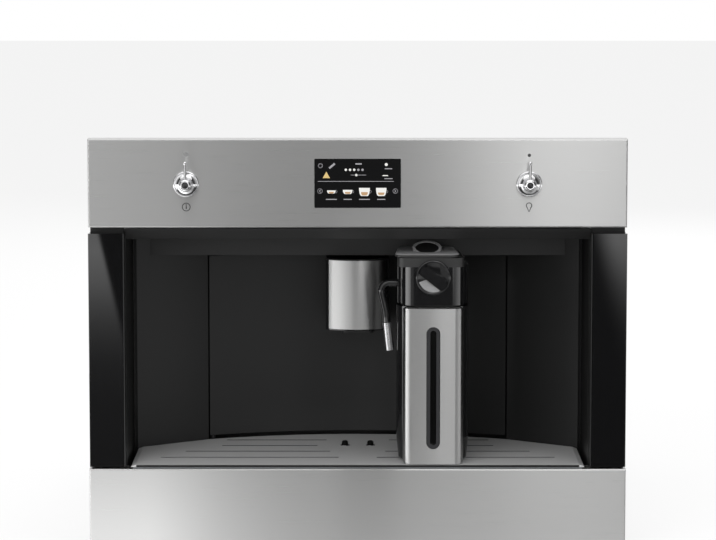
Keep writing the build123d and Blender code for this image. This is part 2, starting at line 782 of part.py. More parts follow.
outlet_y = cover_side_y + 26.0
outlet_strip = spout_width / 2
outlet_spacing = 20.0
with BuildPart() as spout_outlets:
    with BuildSketch(Plane.XY.offset(spout_bottom)):
        with Locations((0, outlet_y)):
            Rectangle(spout_width - 10 - 2 * inset_gap, 30)
    extrude(amount=6)
    with BuildSketch(Plane.XY.offset(spout_bottom - 5.0)):
        with Locations((0, outlet_y - 8)):
            SlotOverall(outlet_strip, 11)
    extrude(amount=5)
    with BuildSketch(Plane.XY.offset(spout_bottom - 6)):
        with Locations((-outlet_spacing / 2, outlet_y - 8), (outlet_spacing / 2, outlet_y - 8)):
            Circle(2.6)
    extrude(amount=14, mode=Mode.SUBTRACT)
save(spout_outlets, "spout_outlets")

# ------------------------------------------------------------------ steam port on the door
port_half = 17.0
port_front = lid_back + 4.0
port_skin_y = middle_y - 7.8
with BuildPart() as steam_port:
    with BuildSketch(front_plane(jug_x, port_front, steam_z)):
        RectangleRounded(2 * port_half, 2 * port_half, 7)
    extrude(amount=port_front - port_skin_y + 8)
    with BuildSketch(front_plane(jug_x, port_front, steam_z)):
        Circle(steam_tube_radius)
    extrude(amount=22.0)
    with BuildSketch(Plane.XY.offset(steam_z - 60)):
        with BuildLine():
            ThreePointArc((-seam_half, seam_y - 0.05), (0, middle_y - 0.05), (seam_half, seam_y - 0.05))
            Polyline((seam_half, seam_y - 0.05), (seam_half, middle_y + 40), (-seam_half, middle_y + 40),
                     (-seam_half, seam_y - 0.05))
        make_face()
    extrude(amount=120, mode=Mode.SUBTRACT)
save(steam_port, "steam_port")

# ------------------------------------------------------------------ drip drawer
with BuildPart() as lower_fascia:
    fascia_back = -frame_plate - 0.6
    with Locations((0, (fascia_y + fascia_back) / 2, (floor_gap + fascia_top) / 2)):
        Box(front_width, fascia_back - fascia_y, fascia_height)
    fillet(lower_fascia.faces().sort_by(Axis.Y)[0].edges(), bend_radius)
    offset(amount=-sheet, openings=lower_fascia.faces().sort_by(Axis.Y)[-1])
    slab((-tray_half - 2, tray_half + 2), (tray_front - 0.6, 10), (fascia_top - 4, fascia_top + 1),
         mode=Mode.SUBTRACT)
save(lower_fascia, "lower_fascia")

with BuildPart() as drip_basin:
    with BuildSketch(Plane.XY.offset(tray_floor)):
        with BuildLine():
            tray_outline(tray_half, tray_front, tray_gap)
        make_face()
    extrude(amount=tray_depth)
    offset(amount=-wall, openings=drip_basin.faces().sort_by(Axis.Z)[-1])
    for x in (-150, 0, 150):
        slab((x - 20, x + 20), (fascia_y + sheet, tray_front + 0.5), (tray_floor + 4, fascia_top - 5))
save(drip_basin, "drip_basin")

# The grid's slots: four rows, each with one slot left and one right of the bare middle strip.
slot_rows = ((46.5, 21.0, tray_half - 27.0), (82.5, 31.0, tray_half - 53.0),
             (drain_depth - 3.0, 46.0, tray_half - 93.0), (152.0, 36.0, tray_half - 97.0))
with BuildPart() as drip_grid:
    with BuildSketch(Plane.XY.offset(grid_z)):
        with BuildLine():
            tray_outline(tray_half + grid_overhang, front_y + 0.5, tray_gap / 2)
        make_face()
        for depth, near, far in slot_rows:
            for side, _ in sides:
                with Locations((side * (near + far) / 2, front_y + depth)):
                    SlotOverall(far - near, slot_width, mode=Mode.SUBTRACT)
        for side, _ in sides:
            with Locations((side * drain_spacing / 2, front_y + drain_depth)):
                Circle(drain_radius, mode=Mode.SUBTRACT)
    extrude(amount=grid_thickness)
    front_bend = drip_grid.edges().filter_by(Axis.X).group_by(Axis.Y)[0].sort_by(Axis.Z)[-1]
    fillet(front_bend, 1.2)
    bevel_x = tray_half + grid_overhang
    bevel_z = grid_top - grid_bevel_fall
    for side, _ in sides:
        with Locations((side * drain_spacing / 2, front_y + drain_depth, grid_top - drain_sink_depth / 2)):
            Cone(drain_radius, drain_sink_radius, drain_sink_depth, mode=Mode.SUBTRACT)
        with BuildSketch(Plane.XZ.offset(-side_y - grid_bevel_width)):
            with BuildLine():
                Polyline((side * (bevel_x - grid_bevel_width), grid_top), (side * (bevel_x + 1), grid_top),
                         (side * (bevel_x + 1), bevel_z), (side * bevel_x, bevel_z),
                         (side * (bevel_x - grid_bevel_width), grid_top))
            make_face()
        extrude(amount=side_y + grid_bevel_width - front_y + 1, mode=Mode.SUBTRACT)
    rib_half = tray_half - wall - 1.0
    slab((-rib_half, rib_half), (tray_front + wall + 1.0, tray_front + wall + 2.6), (grid_z - 8, grid_z))
save(drip_grid, "drip_grid")

# ------------------------------------------------------------------ milk jug
vessel_mid = (vessel_front + vessel_back) / 2
with BuildPart() as jug_container:
    with BuildSketch(Plane.XY.offset(jug_floor)):
        with Locations((jug_x, vessel_mid)):
            RectangleRounded(jug_width - 5, jug_length - 5, jug_corner - 3)
    with BuildSketch(Plane.XY.offset(jug_floor + 26)):
        with Locations((jug_x, vessel_mid)):
            RectangleRounded(jug_width, jug_length, jug_corner)
    loft()
    with BuildSketch(Plane.XY.offset(jug_floor + 26)):
        with Locations((jug_x, vessel_mid)):
            RectangleRounded(jug_width, jug_length, jug_corner)
    extrude(amount=jug_height - 26)
    fillet(jug_container.faces().sort_by(Axis.Z)[0].edges(), 4)
    with BuildSketch(Plane.XY.offset(jug_floor + 4)):
        with Locations((jug_x, vessel_mid)):
            RectangleRounded(jug_width - 13, jug_length - 13, jug_corner - 6.5)
    extrude(amount=jug_height, mode=Mode.SUBTRACT)
save(jug_container, "jug_container")

cover_round = 10.0
cover_bow = 1.4
cover_corner = 3.5
window_z = jug_floor + jug_height / 2 - 1.5


def cover_outline(inset, back):
    """The jug cover seen from above, smaller by inset: a bowed front with round corners, open to its back."""
    half = jug_cover_width / 2 - inset
    corner_y = jug_front + cover_bow + inset
    with BuildSketch(mode=Mode.PRIVATE) as outline:
        with BuildLine():
            ThreePointArc((jug_x - half, corner_y), (jug_x, jug_front + inset), (jug_x + half, corner_y))
            Polyline((jug_x + half, corner_y), (jug_x + half, back), (jug_x - half, back),
                     (jug_x - half, corner_y))
        make_face()
        fillet(outline.vertices().group_by(Axis.Y)[0], cover_round - inset)
    return outline.sketch


with BuildPart() as jug_cover:
    extrude(Plane.XY.offset(jug_floor) * cover_outline(0, vessel_front), amount=jug_height)
    with BuildSketch(front_plane(jug_x, vessel_front, jug_floor + jug_height / 2)):
        RectangleRounded(jug_cover_width, jug_height, cover_corner)
    extrude(amount=jug_cover_depth, mode=Mode.INTERSECT)
    extrude(Plane.XY.offset(jug_floor - 1) * cover_outline(sheet, vessel_front + 1),
            amount=jug_height - sheet + 1, mode=Mode.SUBTRACT)
    with BuildSketch(front_plane(jug_x, jug_front - 1, window_z)):
        SlotOverall(window_height, window_width, rotation=90)
    extrude(amount=-8, mode=Mode.SUBTRACT)
save(jug_cover, "jug_cover")

with BuildPart() as jug_window:
    with BuildSketch(front_plane(jug_x, jug_front + 1.0, window_z)):
        SlotOverall(window_height - 2 * inset_gap, window_width - 2 * inset_gap, rotation=90)
    extrude(amount=-(jug_cover_depth - 1.0 - running_gap))
    with BuildSketch(front_plane(jug_x, jug_front, window_z)):
        SlotOverall(window_height - 8.4, window_width - 8.6, rotation=90)
    extrude(amount=-6, mode=Mode.SUBTRACT)
save(jug_window, "jug_window")

# The lid: a body, a lip that is wider at the front, and a thin top plate over a narrow neck. The button
# lies in a round collar that leans towards the user.
lid_mid = (lid_front + lid_back) / 2
lip_body = 10.2
lip_neck = 1.0
neck_z = lip_z + lip_body
plate_z = neck_z + lip_neck
lip_taper = 5.0
lip_corner = 9.0
collar_sink = 9.0
button_well = 8.6
button_height = 4.6
button_lean = Vector(0, 0, 1).rotate(Axis.X, button_tilt)
button_plane = Plane(origin=(button_x, button_y, button_z), x_dir=(1, 0, 0), z_dir=button_lean)
with BuildPart() as jug_lid:
    with BuildSketch(Plane.XY.offset(lid_z)):
        with Locations((jug_x, lid_mid)):
            RectangleRounded(lid_width, lid_length, 14)
        with Locations((jug_x, lid_mid + lid_shoulder_back / 2)):
            RectangleRounded(lid_width + 2 * lid_shoulder, lid_length - lid_shoulder_back, 12)
    extrude(amount=lid_height)
    with BuildSketch(Plane.XY.offset(lid_z - lid_gap - 7)):
        with Locations((jug_x, vessel_mid)):
            RectangleRounded(jug_width - 14, jug_length - 14, jug_corner - 7)
    extrude(amount=7 + lid_gap)
    layers = ((lip_z, lip_body, 40.5, 35.5, 0.0), (neck_z, lip_neck, 38.5, 28.0, 2.0),
              (plate_z, lid_top - plate_z, 43.0, 30.0, 0.5))
    for low, height, left, right, front in layers:
        with BuildSketch(Plane.XY.offset(low)):
            with BuildLine():
                Polyline((jug_x - left, lid_front + front), (jug_x + right, lid_front + front),
                         (jug_x + right - lip_taper, lid_back + 2),
                         (jug_x - left + lip_taper, lid_back + 2), close=True)
            make_face()
            fillet(vertices(), lip_corner)
        extrude(amount=height)
    fillet(jug_lid.faces().sort_by(Axis.Z)[-1].edges(), 1.2)
    with BuildSketch(button_plane.offset(-collar_sink)):
        Circle(collar_radius)
    extrude(amount=collar_sink)
    with BuildSketch(button_plane):
        Circle(collar_radius)
    extrude(amount=collar_sink, mode=Mode.SUBTRACT)
    with BuildSketch(button_plane.offset(-button_well)):
        Circle(button_radius)
    extrude(amount=button_well, mode=Mode.SUBTRACT)
    with BuildSketch(front_plane(jug_x, lid_front - 1, dial_z)):
        Circle(4.0 + shaft_clearance)
    extrude(amount=-11, mode=Mode.SUBTRACT)
    with BuildSketch(side_plane(jug_x - lid_width / 2 - lid_shoulder - 1)):
        with Locations((milk_y, milk_z)):
            Circle(milk_tube_radius + shaft_clearance)
    extrude(amount=lid_shoulder + 14, mode=Mode.SUBTRACT)
    with BuildSketch(front_plane(jug_x, lid_back + 1, steam_z)):
        Circle(steam_tube_radius + shaft_clearance)
    extrude(amount=21, mode=Mode.SUBTRACT)
    with BuildSketch(Plane.XY.offset(lid_z - lid_gap - 8)):
        with Locations((jug_x - 18, vessel_mid)):
            Circle(3.0)
    extrude(amount=12, mode=Mode.SUBTRACT)
save(jug_lid, "jug_lid")

with BuildPart() as pickup_tube:
    with BuildSketch(Plane.XY.offset(jug_floor + 7)):
        with Locations((jug_x - 18, vessel_mid)):
            Circle(2.9)
            Circle(1.6, mode=Mode.SUBTRACT)
    extrude(amount=lid_z + 1.5 - jug_floor - 7)
save(pickup_tube, "pickup_tube")

with BuildPart() as froth_dial:
    dial_y = lid_front - running_gap
    with BuildSketch(turned_plane(jug_x, dial_y, dial_z)):
        with BuildLine():
            Polyline((0, 0), (dial_radius, 0), (dial_radius, -4.6))
            ThreePointArc((dial_radius, -4.6), (dial_radius - 1.0, -6.2), (dial_radius - 2.6, -5.6))
            ThreePointArc((dial_radius - 2.6, -5.6), (8.0, -3.0), (0, -2.4))
            Line((0, -2.4), (0, 0))
        make_face()
    revolve(axis=Axis((jug_x, dial_y, dial_z), (0, 1, 0)))
    with BuildSketch(front_plane(jug_x, dial_y - 2.0, dial_z)):
        SlotOverall(34, 11, rotation=-38)
    extrude(amount=7.0)
    with BuildSketch(front_plane(jug_x, dial_y - 0.5, dial_z)):
        Circle(4.0)
    extrude(amount=-9.5)
save(froth_dial, "froth_dial")

with BuildPart() as lid_button:
    with BuildSketch(button_plane.offset(button_travel + 0.5 - button_well)):
        Circle(button_radius - 0.25)
    extrude(amount=button_height)
    fillet(lid_button.faces().sort_by(Axis(button_plane.origin, button_plane.z_dir))[-1].edges(), 0.8)
save(lid_button, "lid_button")

tube_points = ((jug_x - lid_width / 2 + 11.5, milk_y, milk_z), (24.5, milk_y, milk_z),
               (31.2, milk_y, milk_z - 30.0), (32.8, milk_y, milk_z - 44.5))
nozzle_axis = (Vector(*tube_points[3]) - Vector(*tube_points[2])).normalized()
nozzle_plane = Plane(origin=tube_points[3], x_dir=(0, -1, 0), z_dir=nozzle_axis)
with BuildPart() as milk_tube:
    with BuildLine():
        FilletPolyline(*tube_points, radius=[9.0, 24.0])
    with BuildSketch(Plane(origin=tube_points[0], z_dir=(-1, 0, 0))):
        Circle(milk_tube_radius)
    sweep()
    with BuildSketch(nozzle_plane.offset(-milk_tip_length)):
        Circle(milk_tube_radius)
    with BuildSketch(nozzle_plane):
        Circle(milk_tip_radius)
    loft()
save(milk_tube, "milk_tube")

nozzle_bore_radius = 3.2
nozzle_bore_depth = 10.0
with BuildPart() as milk_nozzle:
    with BuildSketch(nozzle_plane):
        Circle(milk_nozzle_radius)
    extrude(amount=milk_nozzle_length)
    chamfer(milk_nozzle.edges().filter_by(GeomType.CIRCLE), 0.6)
    with BuildSketch(nozzle_plane.offset(milk_nozzle_length - nozzle_bore_depth)):
        Circle(nozzle_bore_radius)
    extrude(amount=nozzle_bore_depth, mode=Mode.SUBTRACT)
save(milk_nozzle, "milk_nozzle")

# ------------------------------------------------------------------ bean hopper, chute and lids
lid_plane_z = chassis_top_z + thin_sheet
hinge_back = hopper_y + hopper_length / 2 + 5.0
barrel_radius = 1.6
barrel_z = lid_plane_z + barrel_radius + 0.4
barrel_half = 17.0
flap_back = hopper_y + flap_length / 2 + 5.0
lug_x = 14.0
lug_half = 2.0
lug_reach = 3.0
hopper_outlet = 46.0
chute_outlet = 26.0
hopper_rim = 6.0
inner_corner = hopper_corner - wall
funnels = ((hopper_x, hopper_width, hopper_length, hopper_outlet),
           (flap_x, chute_width, flap_length, chute_outlet))
rim_left = flap_x - chute_width / 2 - hopper_rim
rim_right = hopper_x + hopper_width / 2 + hopper_rim
with BuildPart() as bean_hopper:
    for x, width, length, outlet in funnels:
        with BuildSketch(Plane.XY.offset(chassis_top_z)):
            with Locations((x, hopper_y)):
                RectangleRounded(width, length, hopper_corner)
        with BuildSketch(Plane.XY.offset(chassis_top_z - hopper_depth)):
            with Locations((x, hopper_y)):
                RectangleRounded(outlet, outlet, hopper_corner)
        loft()
    with BuildSketch(Plane.XY.offset(chassis_top_z)):
        with Locations(((rim_left + rim_right) / 2, hopper_y)):
            RectangleRounded(rim_right - rim_left, hopper_length + 22, hopper_corner + 2)
    extrude(amount=thin_sheet)
    for x, width, length, outlet in funnels:
        with BuildSketch(Plane.XY.offset(chassis_top_z + thin_sheet)):
            with Locations((x, hopper_y)):
                RectangleRounded(width - 2 * wall, length - 2 * wall, inner_corner)
        with BuildSketch(Plane.XY.offset(chassis_top_z - hopper_depth - 1)):
            with Locations((x, hopper_y)):
                RectangleRounded(outlet - 2 * wall, outlet - 2 * wall, inner_corner)
        loft(mode=Mode.SUBTRACT)
    for x, lid_hinge_y in ((hopper_x, hinge_back), (flap_x, flap_back)):
        for side, _ in sides:
            slab((x + side * (lug_x - lug_half), x + side * (lug_x + lug_half)),
                 (lid_hinge_y - lug_reach, lid_hinge_y + lug_reach), (lid_plane_z, barrel_z + 2.2))
        with BuildSketch(side_plane(x - barrel_half - lug_reach)):
            with Locations((lid_hinge_y, barrel_z)):
                Circle(barrel_radius + shaft_clearance)
        extrude(amount=2 * (barrel_half + lug_reach), mode=Mode.SUBTRACT)
save(bean_hopper, "bean_hopper")


lid_sheet = 2.0
lid_low = lid_plane_z + 0.2
lid_ear_half = 9.0


def hopper_lid(x, width, length, hinge, name):
    """A flat lid that turns on a round bar held in two lugs behind it."""
    with BuildPart() as top_lid:
        with BuildSketch(Plane.XY.offset(lid_low)):
            with Locations((x, hopper_y)):
                RectangleRounded(width, length, inner_corner)
        extrude(amount=lid_sheet)
        slab((x - lid_ear_half, x + lid_ear_half), (hopper_y + length / 2 - 4, hinge),
             (lid_low, lid_low + lid_sheet))
        with BuildSketch(side_plane(x - barrel_half)):
            with Locations((hinge, barrel_z)):
                Circle(barrel_radius)
        extrude(amount=2 * barrel_half)
    save(top_lid, name)


hopper_lid(hopper_x, hopper_width + 2, hopper_length, hinge_back, "bean_lid")
hopper_lid(flap_x, chute_width + 2, flap_length, flap_back, "ground_flap")

# ------------------------------------------------------------------ grinder
grinder_top = chassis_top_z - hopper_depth - 0.4
grinder_height = 120.0
bracket_z = grinder_top - 46.0
with BuildPart() as grinder:
    with BuildSketch(Plane.XY.offset(grinder_top - grinder_height)):
        with Locations((hopper_x, hopper_y)):
            Circle(grinder_radius)
    extrude(amount=grinder_height)
    with BuildSketch(Plane.XY.offset(bracket_z)):
        with Locations((hopper_x - grinder_radius - 10, hopper_y)):
            RectangleRounded(46, 34, 6)
    extrude(amount=26)
    with BuildSketch(Plane.XY.offset(grinder_top - 34)):
        with Locations((hopper_x, hopper_y)):
            Circle(burr_radius + 4)
    extrude(amount=35, mode=Mode.SUBTRACT)
    with BuildSketch(Plane.XY.offset(grinder_top - 60)):
        with Locations((hopper_x, hopper_y)):
            Circle(4 + shaft_clearance)
    extrude(amount=30, mode=Mode.SUBTRACT)
    bracket_back = hopper_y - burr_radius - 8.0
    slab((hopper_x - 22, hopper_x + 22), (bulkhead_y + sheet, bracket_back), (bracket_z, bracket_z + 10))
    foot_half = 34.0
    foot_back = bulkhead_y + sheet + 3.0
    slab((hopper_x - foot_half, hopper_x + foot_half), (bulkhead_y + sheet, foot_back),
         (bracket_z - 8, bracket_z + 18))
save(grinder, "grinder")

with BuildPart() as grinder_burr:
    with BuildSketch(Plane.XY.offset(grinder_top - 33.5)):
        with Locations((hopper_x, hopper_y)):
            Circle(burr_radius)
    with BuildSketch(Plane.XY.offset(grinder_top - 8)):
        with Locations((hopper_x, hopper_y)):
            Circle(burr_radius * 0.45)
    loft()
    with BuildSketch(Plane.XY.offset(grinder_top - 58)):
        with Locations((hopper_x, hopper_y)):
            Circle(4)
    extrude(amount=28)
    for angle in range(0, 360, 45):
        with BuildSketch(Plane.XY.offset(grinder_top - 33)):
            with Locations((hopper_x, hopper_y)):
                with PolarLocations(burr_radius + 0.5, 1, start_angle=angle):
                    Circle(3.2)
        extrude(amount=30, mode=Mode.SUBTRACT)
save(grinder_burr, "grinder_burr")

# ------------------------------------------------------------------ brew unit
brew_x = -58.0
brew_width = 86.0
brew_length = 72.0
brew_y = bulkhead_y + 16.0 + brew_length / 2
brew_low = service_low + 24.5
brew_high = service_high - 8.5
cylinder_low = brew_high - 70.0
cylinder_height = 48.0
brew_head = 22.0
piston_low = brew_high - 88.0
piston_height = 28.0
seal_low = brew_high - 67.0
rod_low = brew_low + 12.0 - piston_travel
rod_radius = 5.0
bin_length = 96.0
bin_width = 106.0
brew_leg_y = brew_y + bin_length / 2 + 3.0
brew_leg_half = 36.0
brew_leg = 4.0
with BuildPart() as brew_unit:
    with BuildSketch(Plane.XY.offset(brew_low)):
        with Locations((brew_x, brew_y)):
            RectangleRounded(brew_width, brew_length, 8)
    extrude(amount=brew_high - brew_low)
    brew_inner = brew_width / 2 - 5.0
    slab((brew_x - brew_inner, brew_x + brew_inner), (brew_y - brew_length / 2 - 4, brew_y + 24),
         (brew_low + 16, brew_high - brew_head), mode=Mode.SUBTRACT)
    with BuildSketch(Plane.XY.offset(cylinder_low)):
        with Locations((brew_x, brew_y)):
            Circle(piston_radius + 7)
    extrude(amount=cylinder_height)
    slab((brew_x - brew_inner, brew_x + brew_inner), (brew_y + 16, brew_y + 25),
         (cylinder_low, brew_high - brew_head))
    with BuildSketch(Plane.XY.offset(brew_low - 1)):
        with Locations((brew_x, brew_y)):
            Circle(rod_radius + shaft_clearance)
    extrude(amount=20, mode=Mode.SUBTRACT)
    with BuildSketch(Plane.XY.offset(cylinder_low - 1)):
        with Locations((brew_x, brew_y)):
            Circle(piston_radius + shaft_clearance)
    extrude(amount=cylinder_height - 4, mode=Mode.SUBTRACT)
    leg_x = (brew_x - brew_leg_half, brew_x + brew_leg_half)
    slab(leg_x, (brew_y + 30, brew_leg_y + brew_leg), (brew_low, brew_low + 12))
    slab(leg_x, (brew_leg_y, brew_leg_y + brew_leg), (chassis_floor_z + sheet, brew_low + 12))
save(brew_unit, "brew_unit")

with BuildPart() as brew_piston:
    with BuildSketch(Plane.XY.offset(piston_low)):
        with Locations((brew_x, brew_y)):
            Circle(piston_radius)
    extrude(amount=piston_height)
    with BuildSketch(Plane.XY.offset(rod_low)):
        with Locations((brew_x, brew_y)):
            Circle(rod_radius)
    extrude(amount=piston_low - rod_low)
    with BuildSketch(Plane.XY.offset(seal_low)):
        with Locations((brew_x, brew_y)):
            Circle(piston_radius + 1)
            Circle(piston_radius - 1.2, mode=Mode.SUBTRACT)
    extrude(amount=2.0, mode=Mode.SUBTRACT)
save(brew_piston, "brew_piston")

# ------------------------------------------------------------------ grounds container
bin_low = chassis_floor_z + sheet
with BuildPart() as grounds_container:
    with BuildSketch(Plane.XY.offset(bin_low)):
        with Locations((brew_x, brew_y)):
            RectangleRounded(bin_width - 14, bin_length - 12, 10)
    with BuildSketch(Plane.XY.offset(brew_low - 14)):
        with Locations((brew_x, brew_y)):
            RectangleRounded(bin_width, bin_length, 12)
    loft()
    offset(amount=-2.0, openings=grounds_container.faces().sort_by(Axis.Z)[-1])
save(grounds_container, "grounds_container")

# ------------------------------------------------------------------ water tank
tank_floor = chassis_floor_z + sheet + tank_seat_height
tank_height = chassis_top_z - tank_below_top - tank_floor
tank_foot_y = tank_y - 0.3 * tank_length
with BuildPart() as water_tank:
    with BuildSketch(Plane.XY.offset(tank_floor)):
        with Locations((tank_x, tank_y)):
            RectangleRounded(tank_width, tank_length, tank_corner)
    extrude(amount=tank_height)
    offset(amount=-wall, openings=water_tank.faces().sort_by(Axis.Z)[-1])
    with BuildSketch(Plane.XY.offset(tank_floor - 8)):
        with Locations((tank_x, tank_foot_y)):
            Circle(9)
    extrude(amount=8.5)
save(water_tank, "water_tank")

with BuildPart() as tank_lid:
    with BuildSketch(Plane.XY.offset(tank_floor + tank_height)):
        with Locations((tank_x, tank_y)):
            RectangleRounded(tank_width, tank_length, tank_corner)
            with Locations((0, -tank_length / 4), (0, tank_length / 4)):
                SlotOverall(46, 20, mode=Mode.SUBTRACT)
    extrude(amount=3.0)
    with BuildSketch(Plane.XY.offset(tank_floor + tank_height - 5)):
        with Locations((tank_x, tank_y)):
            RectangleRounded(tank_width - 2 * wall - 0.6, tank_length - 2 * wall - 0.6, tank_corner - 0.5)
            RectangleRounded(tank_width - 2 * wall - 5, tank_length - 2 * wall - 5, tank_corner - 2,
                             mode=Mode.SUBTRACT)
    extrude(amount=5.0)
save(tank_lid, "tank_lid")

with BuildPart() as tank_seat:
    with BuildSketch(Plane.XY.offset(chassis_floor_z + sheet)):
        with Locations((tank_x, tank_y)):
            RectangleRounded(tank_width - 6, tank_length - 6, tank_corner)
    extrude(amount=tank_floor - chassis_floor_z - sheet - running_gap)
    with BuildSketch(Plane.XY.offset(tank_floor - 14)):
        with Locations((tank_x, tank_foot_y)):
            Circle(9.5)
    extrude(amount=20, mode=Mode.SUBTRACT)
save(tank_seat, "tank_seat")

# ------------------------------------------------------------------ boiler, pump, board, inlet
floor_in = chassis_floor_z + sheet
boiler_x = 50.0
boiler_y = chassis_depth - 80.0
boiler_radius = 34.0
boiler_height = 110.0
boiler_foot = 60.0
with BuildPart() as boiler:
    with BuildSketch(Plane.XY.offset(floor_in + boiler_foot)):
        with Locations((boiler_x, boiler_y)):
            Circle(boiler_radius)
    extrude(amount=boiler_height)
    fillet(boiler.edges().filter_by(GeomType.CIRCLE), 8)
    for angle in (0, 120, 240):
        with BuildSketch(Plane.XY.offset(floor_in)):
            with Locations((boiler_x, boiler_y)):
                with PolarLocations(boiler_radius - 10, 1, start_angle=angle):
                    Circle(4)
        extrude(amount=boiler_foot + 4)
save(boiler, "boiler")

pump_x = -60.0
pump_foot = 4.0
pump_length = 52.0
pump_width = 46.0
pump_z = floor_in + 34.0
pump_nose = 28.0
pump_room = rear_face - brew_leg_y - brew_leg - pump_foot - pump_length - pump_nose
pump_y = brew_leg_y + brew_leg + 0.2 * pump_room
with BuildPart() as water_pump:
    with BuildSketch(Plane.XY.offset(floor_in)):
        with Locations((pump_x, pump_y)):
            RectangleRounded(pump_width + 18, pump_length + pump_nose, 6, align=(Align.CENTER, Align.MIN))
    extrude(amount=6)
    with BuildSketch(Plane.XZ.offset(-pump_y - pump_foot)):
        with Locations((pump_x, pump_z)):
            RectangleRounded(pump_width, 56.5, 9)
    extrude(amount=-pump_length)
    with BuildSketch(Plane.XZ.offset(-pump_y - pump_foot - pump_length)):
        with Locations((pump_x, pump_z)):
            Circle(15)
    extrude(amount=-pump_nose)
save(water_pump, "water_pump")

board_x = inner_half - 12.0
power_y = (bulkhead_y + chassis_depth) / 2
power_z = 170.0
power_margin = 42.0
power_length = chassis_depth - bulkhead_y - 2 * power_margin
power_step = power_length / 4
heat_sink_length = power_length / 2
power_height = 120.0
with BuildPart() as power_board:
    with BuildSketch(side_plane(board_x)):
        with Locations((power_y, power_z)):
            RectangleRounded(power_length, power_height, 4)
    extrude(amount=-board_thickness)
    with BuildSketch(side_plane(board_x)):
        with Locations((power_y, power_z)):
            with GridLocations(power_length - 16, power_height - 16, 2, 2):
                Circle(3)
    extrude(amount=12.0)
    with BuildSketch(side_plane(board_x - board_thickness)):
        with Locations((power_y - power_step, power_z - 20), (power_y + power_step, power_z - 20)):
            RectangleRounded(38, 34, 2)
        with Locations((power_y, power_z + 35)):
            RectangleRounded(heat_sink_length, 26, 2)
    extrude(amount=-26)
save(power_board, "power_board")

with BuildPart() as mains_inlet:
    with BuildSketch(Plane.XZ.offset(-chassis_depth)):
        with Locations((inlet_x, inlet_z)):
            RectangleRounded(inlet_width + 8, inlet_height + 8, 3)
    extrude(amount=-2.5)
    with BuildSketch(Plane.XZ.offset(-chassis_depth + 22)):
        with Locations((inlet_x, inlet_z)):
            RectangleRounded(inlet_width - 2 * inset_gap, inlet_height - 2 * inset_gap, 2)
    extrude(amount=-22)
    with BuildSketch(Plane.XZ.offset(-chassis_depth - 3)):
        with Locations((inlet_x, inlet_z)):
            RectangleRounded(27, 18, 2)
    extrude(amount=18, mode=Mode.SUBTRACT)
    with BuildSketch(Plane.XZ.offset(-chassis_depth + 16)):
        with Locations((inlet_x - 7, inlet_z - 2), (inlet_x, inlet_z + 3), (inlet_x + 7, inlet_z - 2)):
            Rectangle(2, 5)
    extrude(amount=-14)
save(mains_inlet, "mains_inlet")
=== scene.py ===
# %% [markdown]
# # A built-in coffee machine, dressed from its CAD frame
# The real object is a front of brushed steel, 597 mm wide, around a dark bay with a coffee spout, a
# milk jug and a drip tray. Its solids are already packed as a frame, so this lesson adds finishes,
# prints and small fittings to that frame, and sets it up as a studio picture. The scene is in
# metres, in the CAD's own axes: X to the right, Y into the cabinet, Z up. Small outlines and turned
# profiles are written in millimetres, because their numbers read better that way.

# %% Load the frame
import bpy
import bmesh
import json
import math
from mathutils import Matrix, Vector


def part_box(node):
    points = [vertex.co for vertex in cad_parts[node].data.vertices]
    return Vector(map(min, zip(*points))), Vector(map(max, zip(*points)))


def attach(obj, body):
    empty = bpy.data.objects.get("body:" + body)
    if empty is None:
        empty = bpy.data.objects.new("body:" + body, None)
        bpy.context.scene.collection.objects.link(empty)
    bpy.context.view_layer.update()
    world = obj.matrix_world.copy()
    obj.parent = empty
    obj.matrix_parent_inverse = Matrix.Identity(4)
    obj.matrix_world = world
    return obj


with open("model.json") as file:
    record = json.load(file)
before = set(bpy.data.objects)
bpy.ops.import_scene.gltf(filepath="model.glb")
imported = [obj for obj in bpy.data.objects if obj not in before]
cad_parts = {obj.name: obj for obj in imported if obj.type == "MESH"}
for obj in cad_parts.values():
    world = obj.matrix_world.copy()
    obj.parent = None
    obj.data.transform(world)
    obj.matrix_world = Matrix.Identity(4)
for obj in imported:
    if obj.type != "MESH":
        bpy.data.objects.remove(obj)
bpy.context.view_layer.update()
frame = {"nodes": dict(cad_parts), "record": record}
nodes = frame["nodes"]
slot_of = {part["node"]: part["material_slot"] for part in frame["record"]["subparts"]}

# %% [markdown]
# ## Camera
# The photograph was taken from a little above the machine with a long lens, so the bay shows its
# floor and hides its ceiling. A long lens far away keeps the steel front almost square. The camera
# could be level with a large shift, as a view camera is, but a small tilt with a small shift also
# works when somebody walks round the object, so that is what is used here.

# %% The camera
scene = bpy.context.scene


def add_object(name, data):
    """A new object that holds the data, in the scene."""
    thing = bpy.data.objects.new(name, data)
    scene.collection.objects.link(thing)
    return thing


degrees_below_level = 5.6
camera_data = bpy.data.cameras.new("studio_camera")
camera_data.sensor_width = 36.0
camera_data.lens = 137.5
camera_data.shift_y = -0.1006
camera_data.clip_end = 60.0
camera = add_object("studio_camera", camera_data)
camera.location = (0.0004, -3.022, 0.686)
camera.rotation_euler = (math.radians(90.0 - degrees_below_level), 0.0, 0.0)
scene.camera = camera
scene.view_settings.view_transform = "Standard"
print("camera", tuple(camera.location), "lens", camera_data.lens)

# %% [markdown]
# ## Helpers for node trees
# The world, the materials and the screws are all node trees, and most of a tree is arithmetic. A few
# short functions make and join such nodes, so that a tree further down reads like a formula. A value
# may be a plain number or the output of another node, and the helpers tell the two apart.

# %% Node helpers
def feed(tree, socket, value):
    """Gives an input socket a value, or links another node's output to it."""
    if isinstance(value, bpy.types.NodeSocket):
        tree.links.new(value, socket)
    else:
        socket.default_value = value


def new_node(tree, kind, **inputs):
    """A node with its inputs fed. An input's name has _ for each space."""
    node = tree.nodes.new(kind)
    for title, value in inputs.items():
        feed(tree, node.inputs[title.replace("_", " ")], value)
    return node


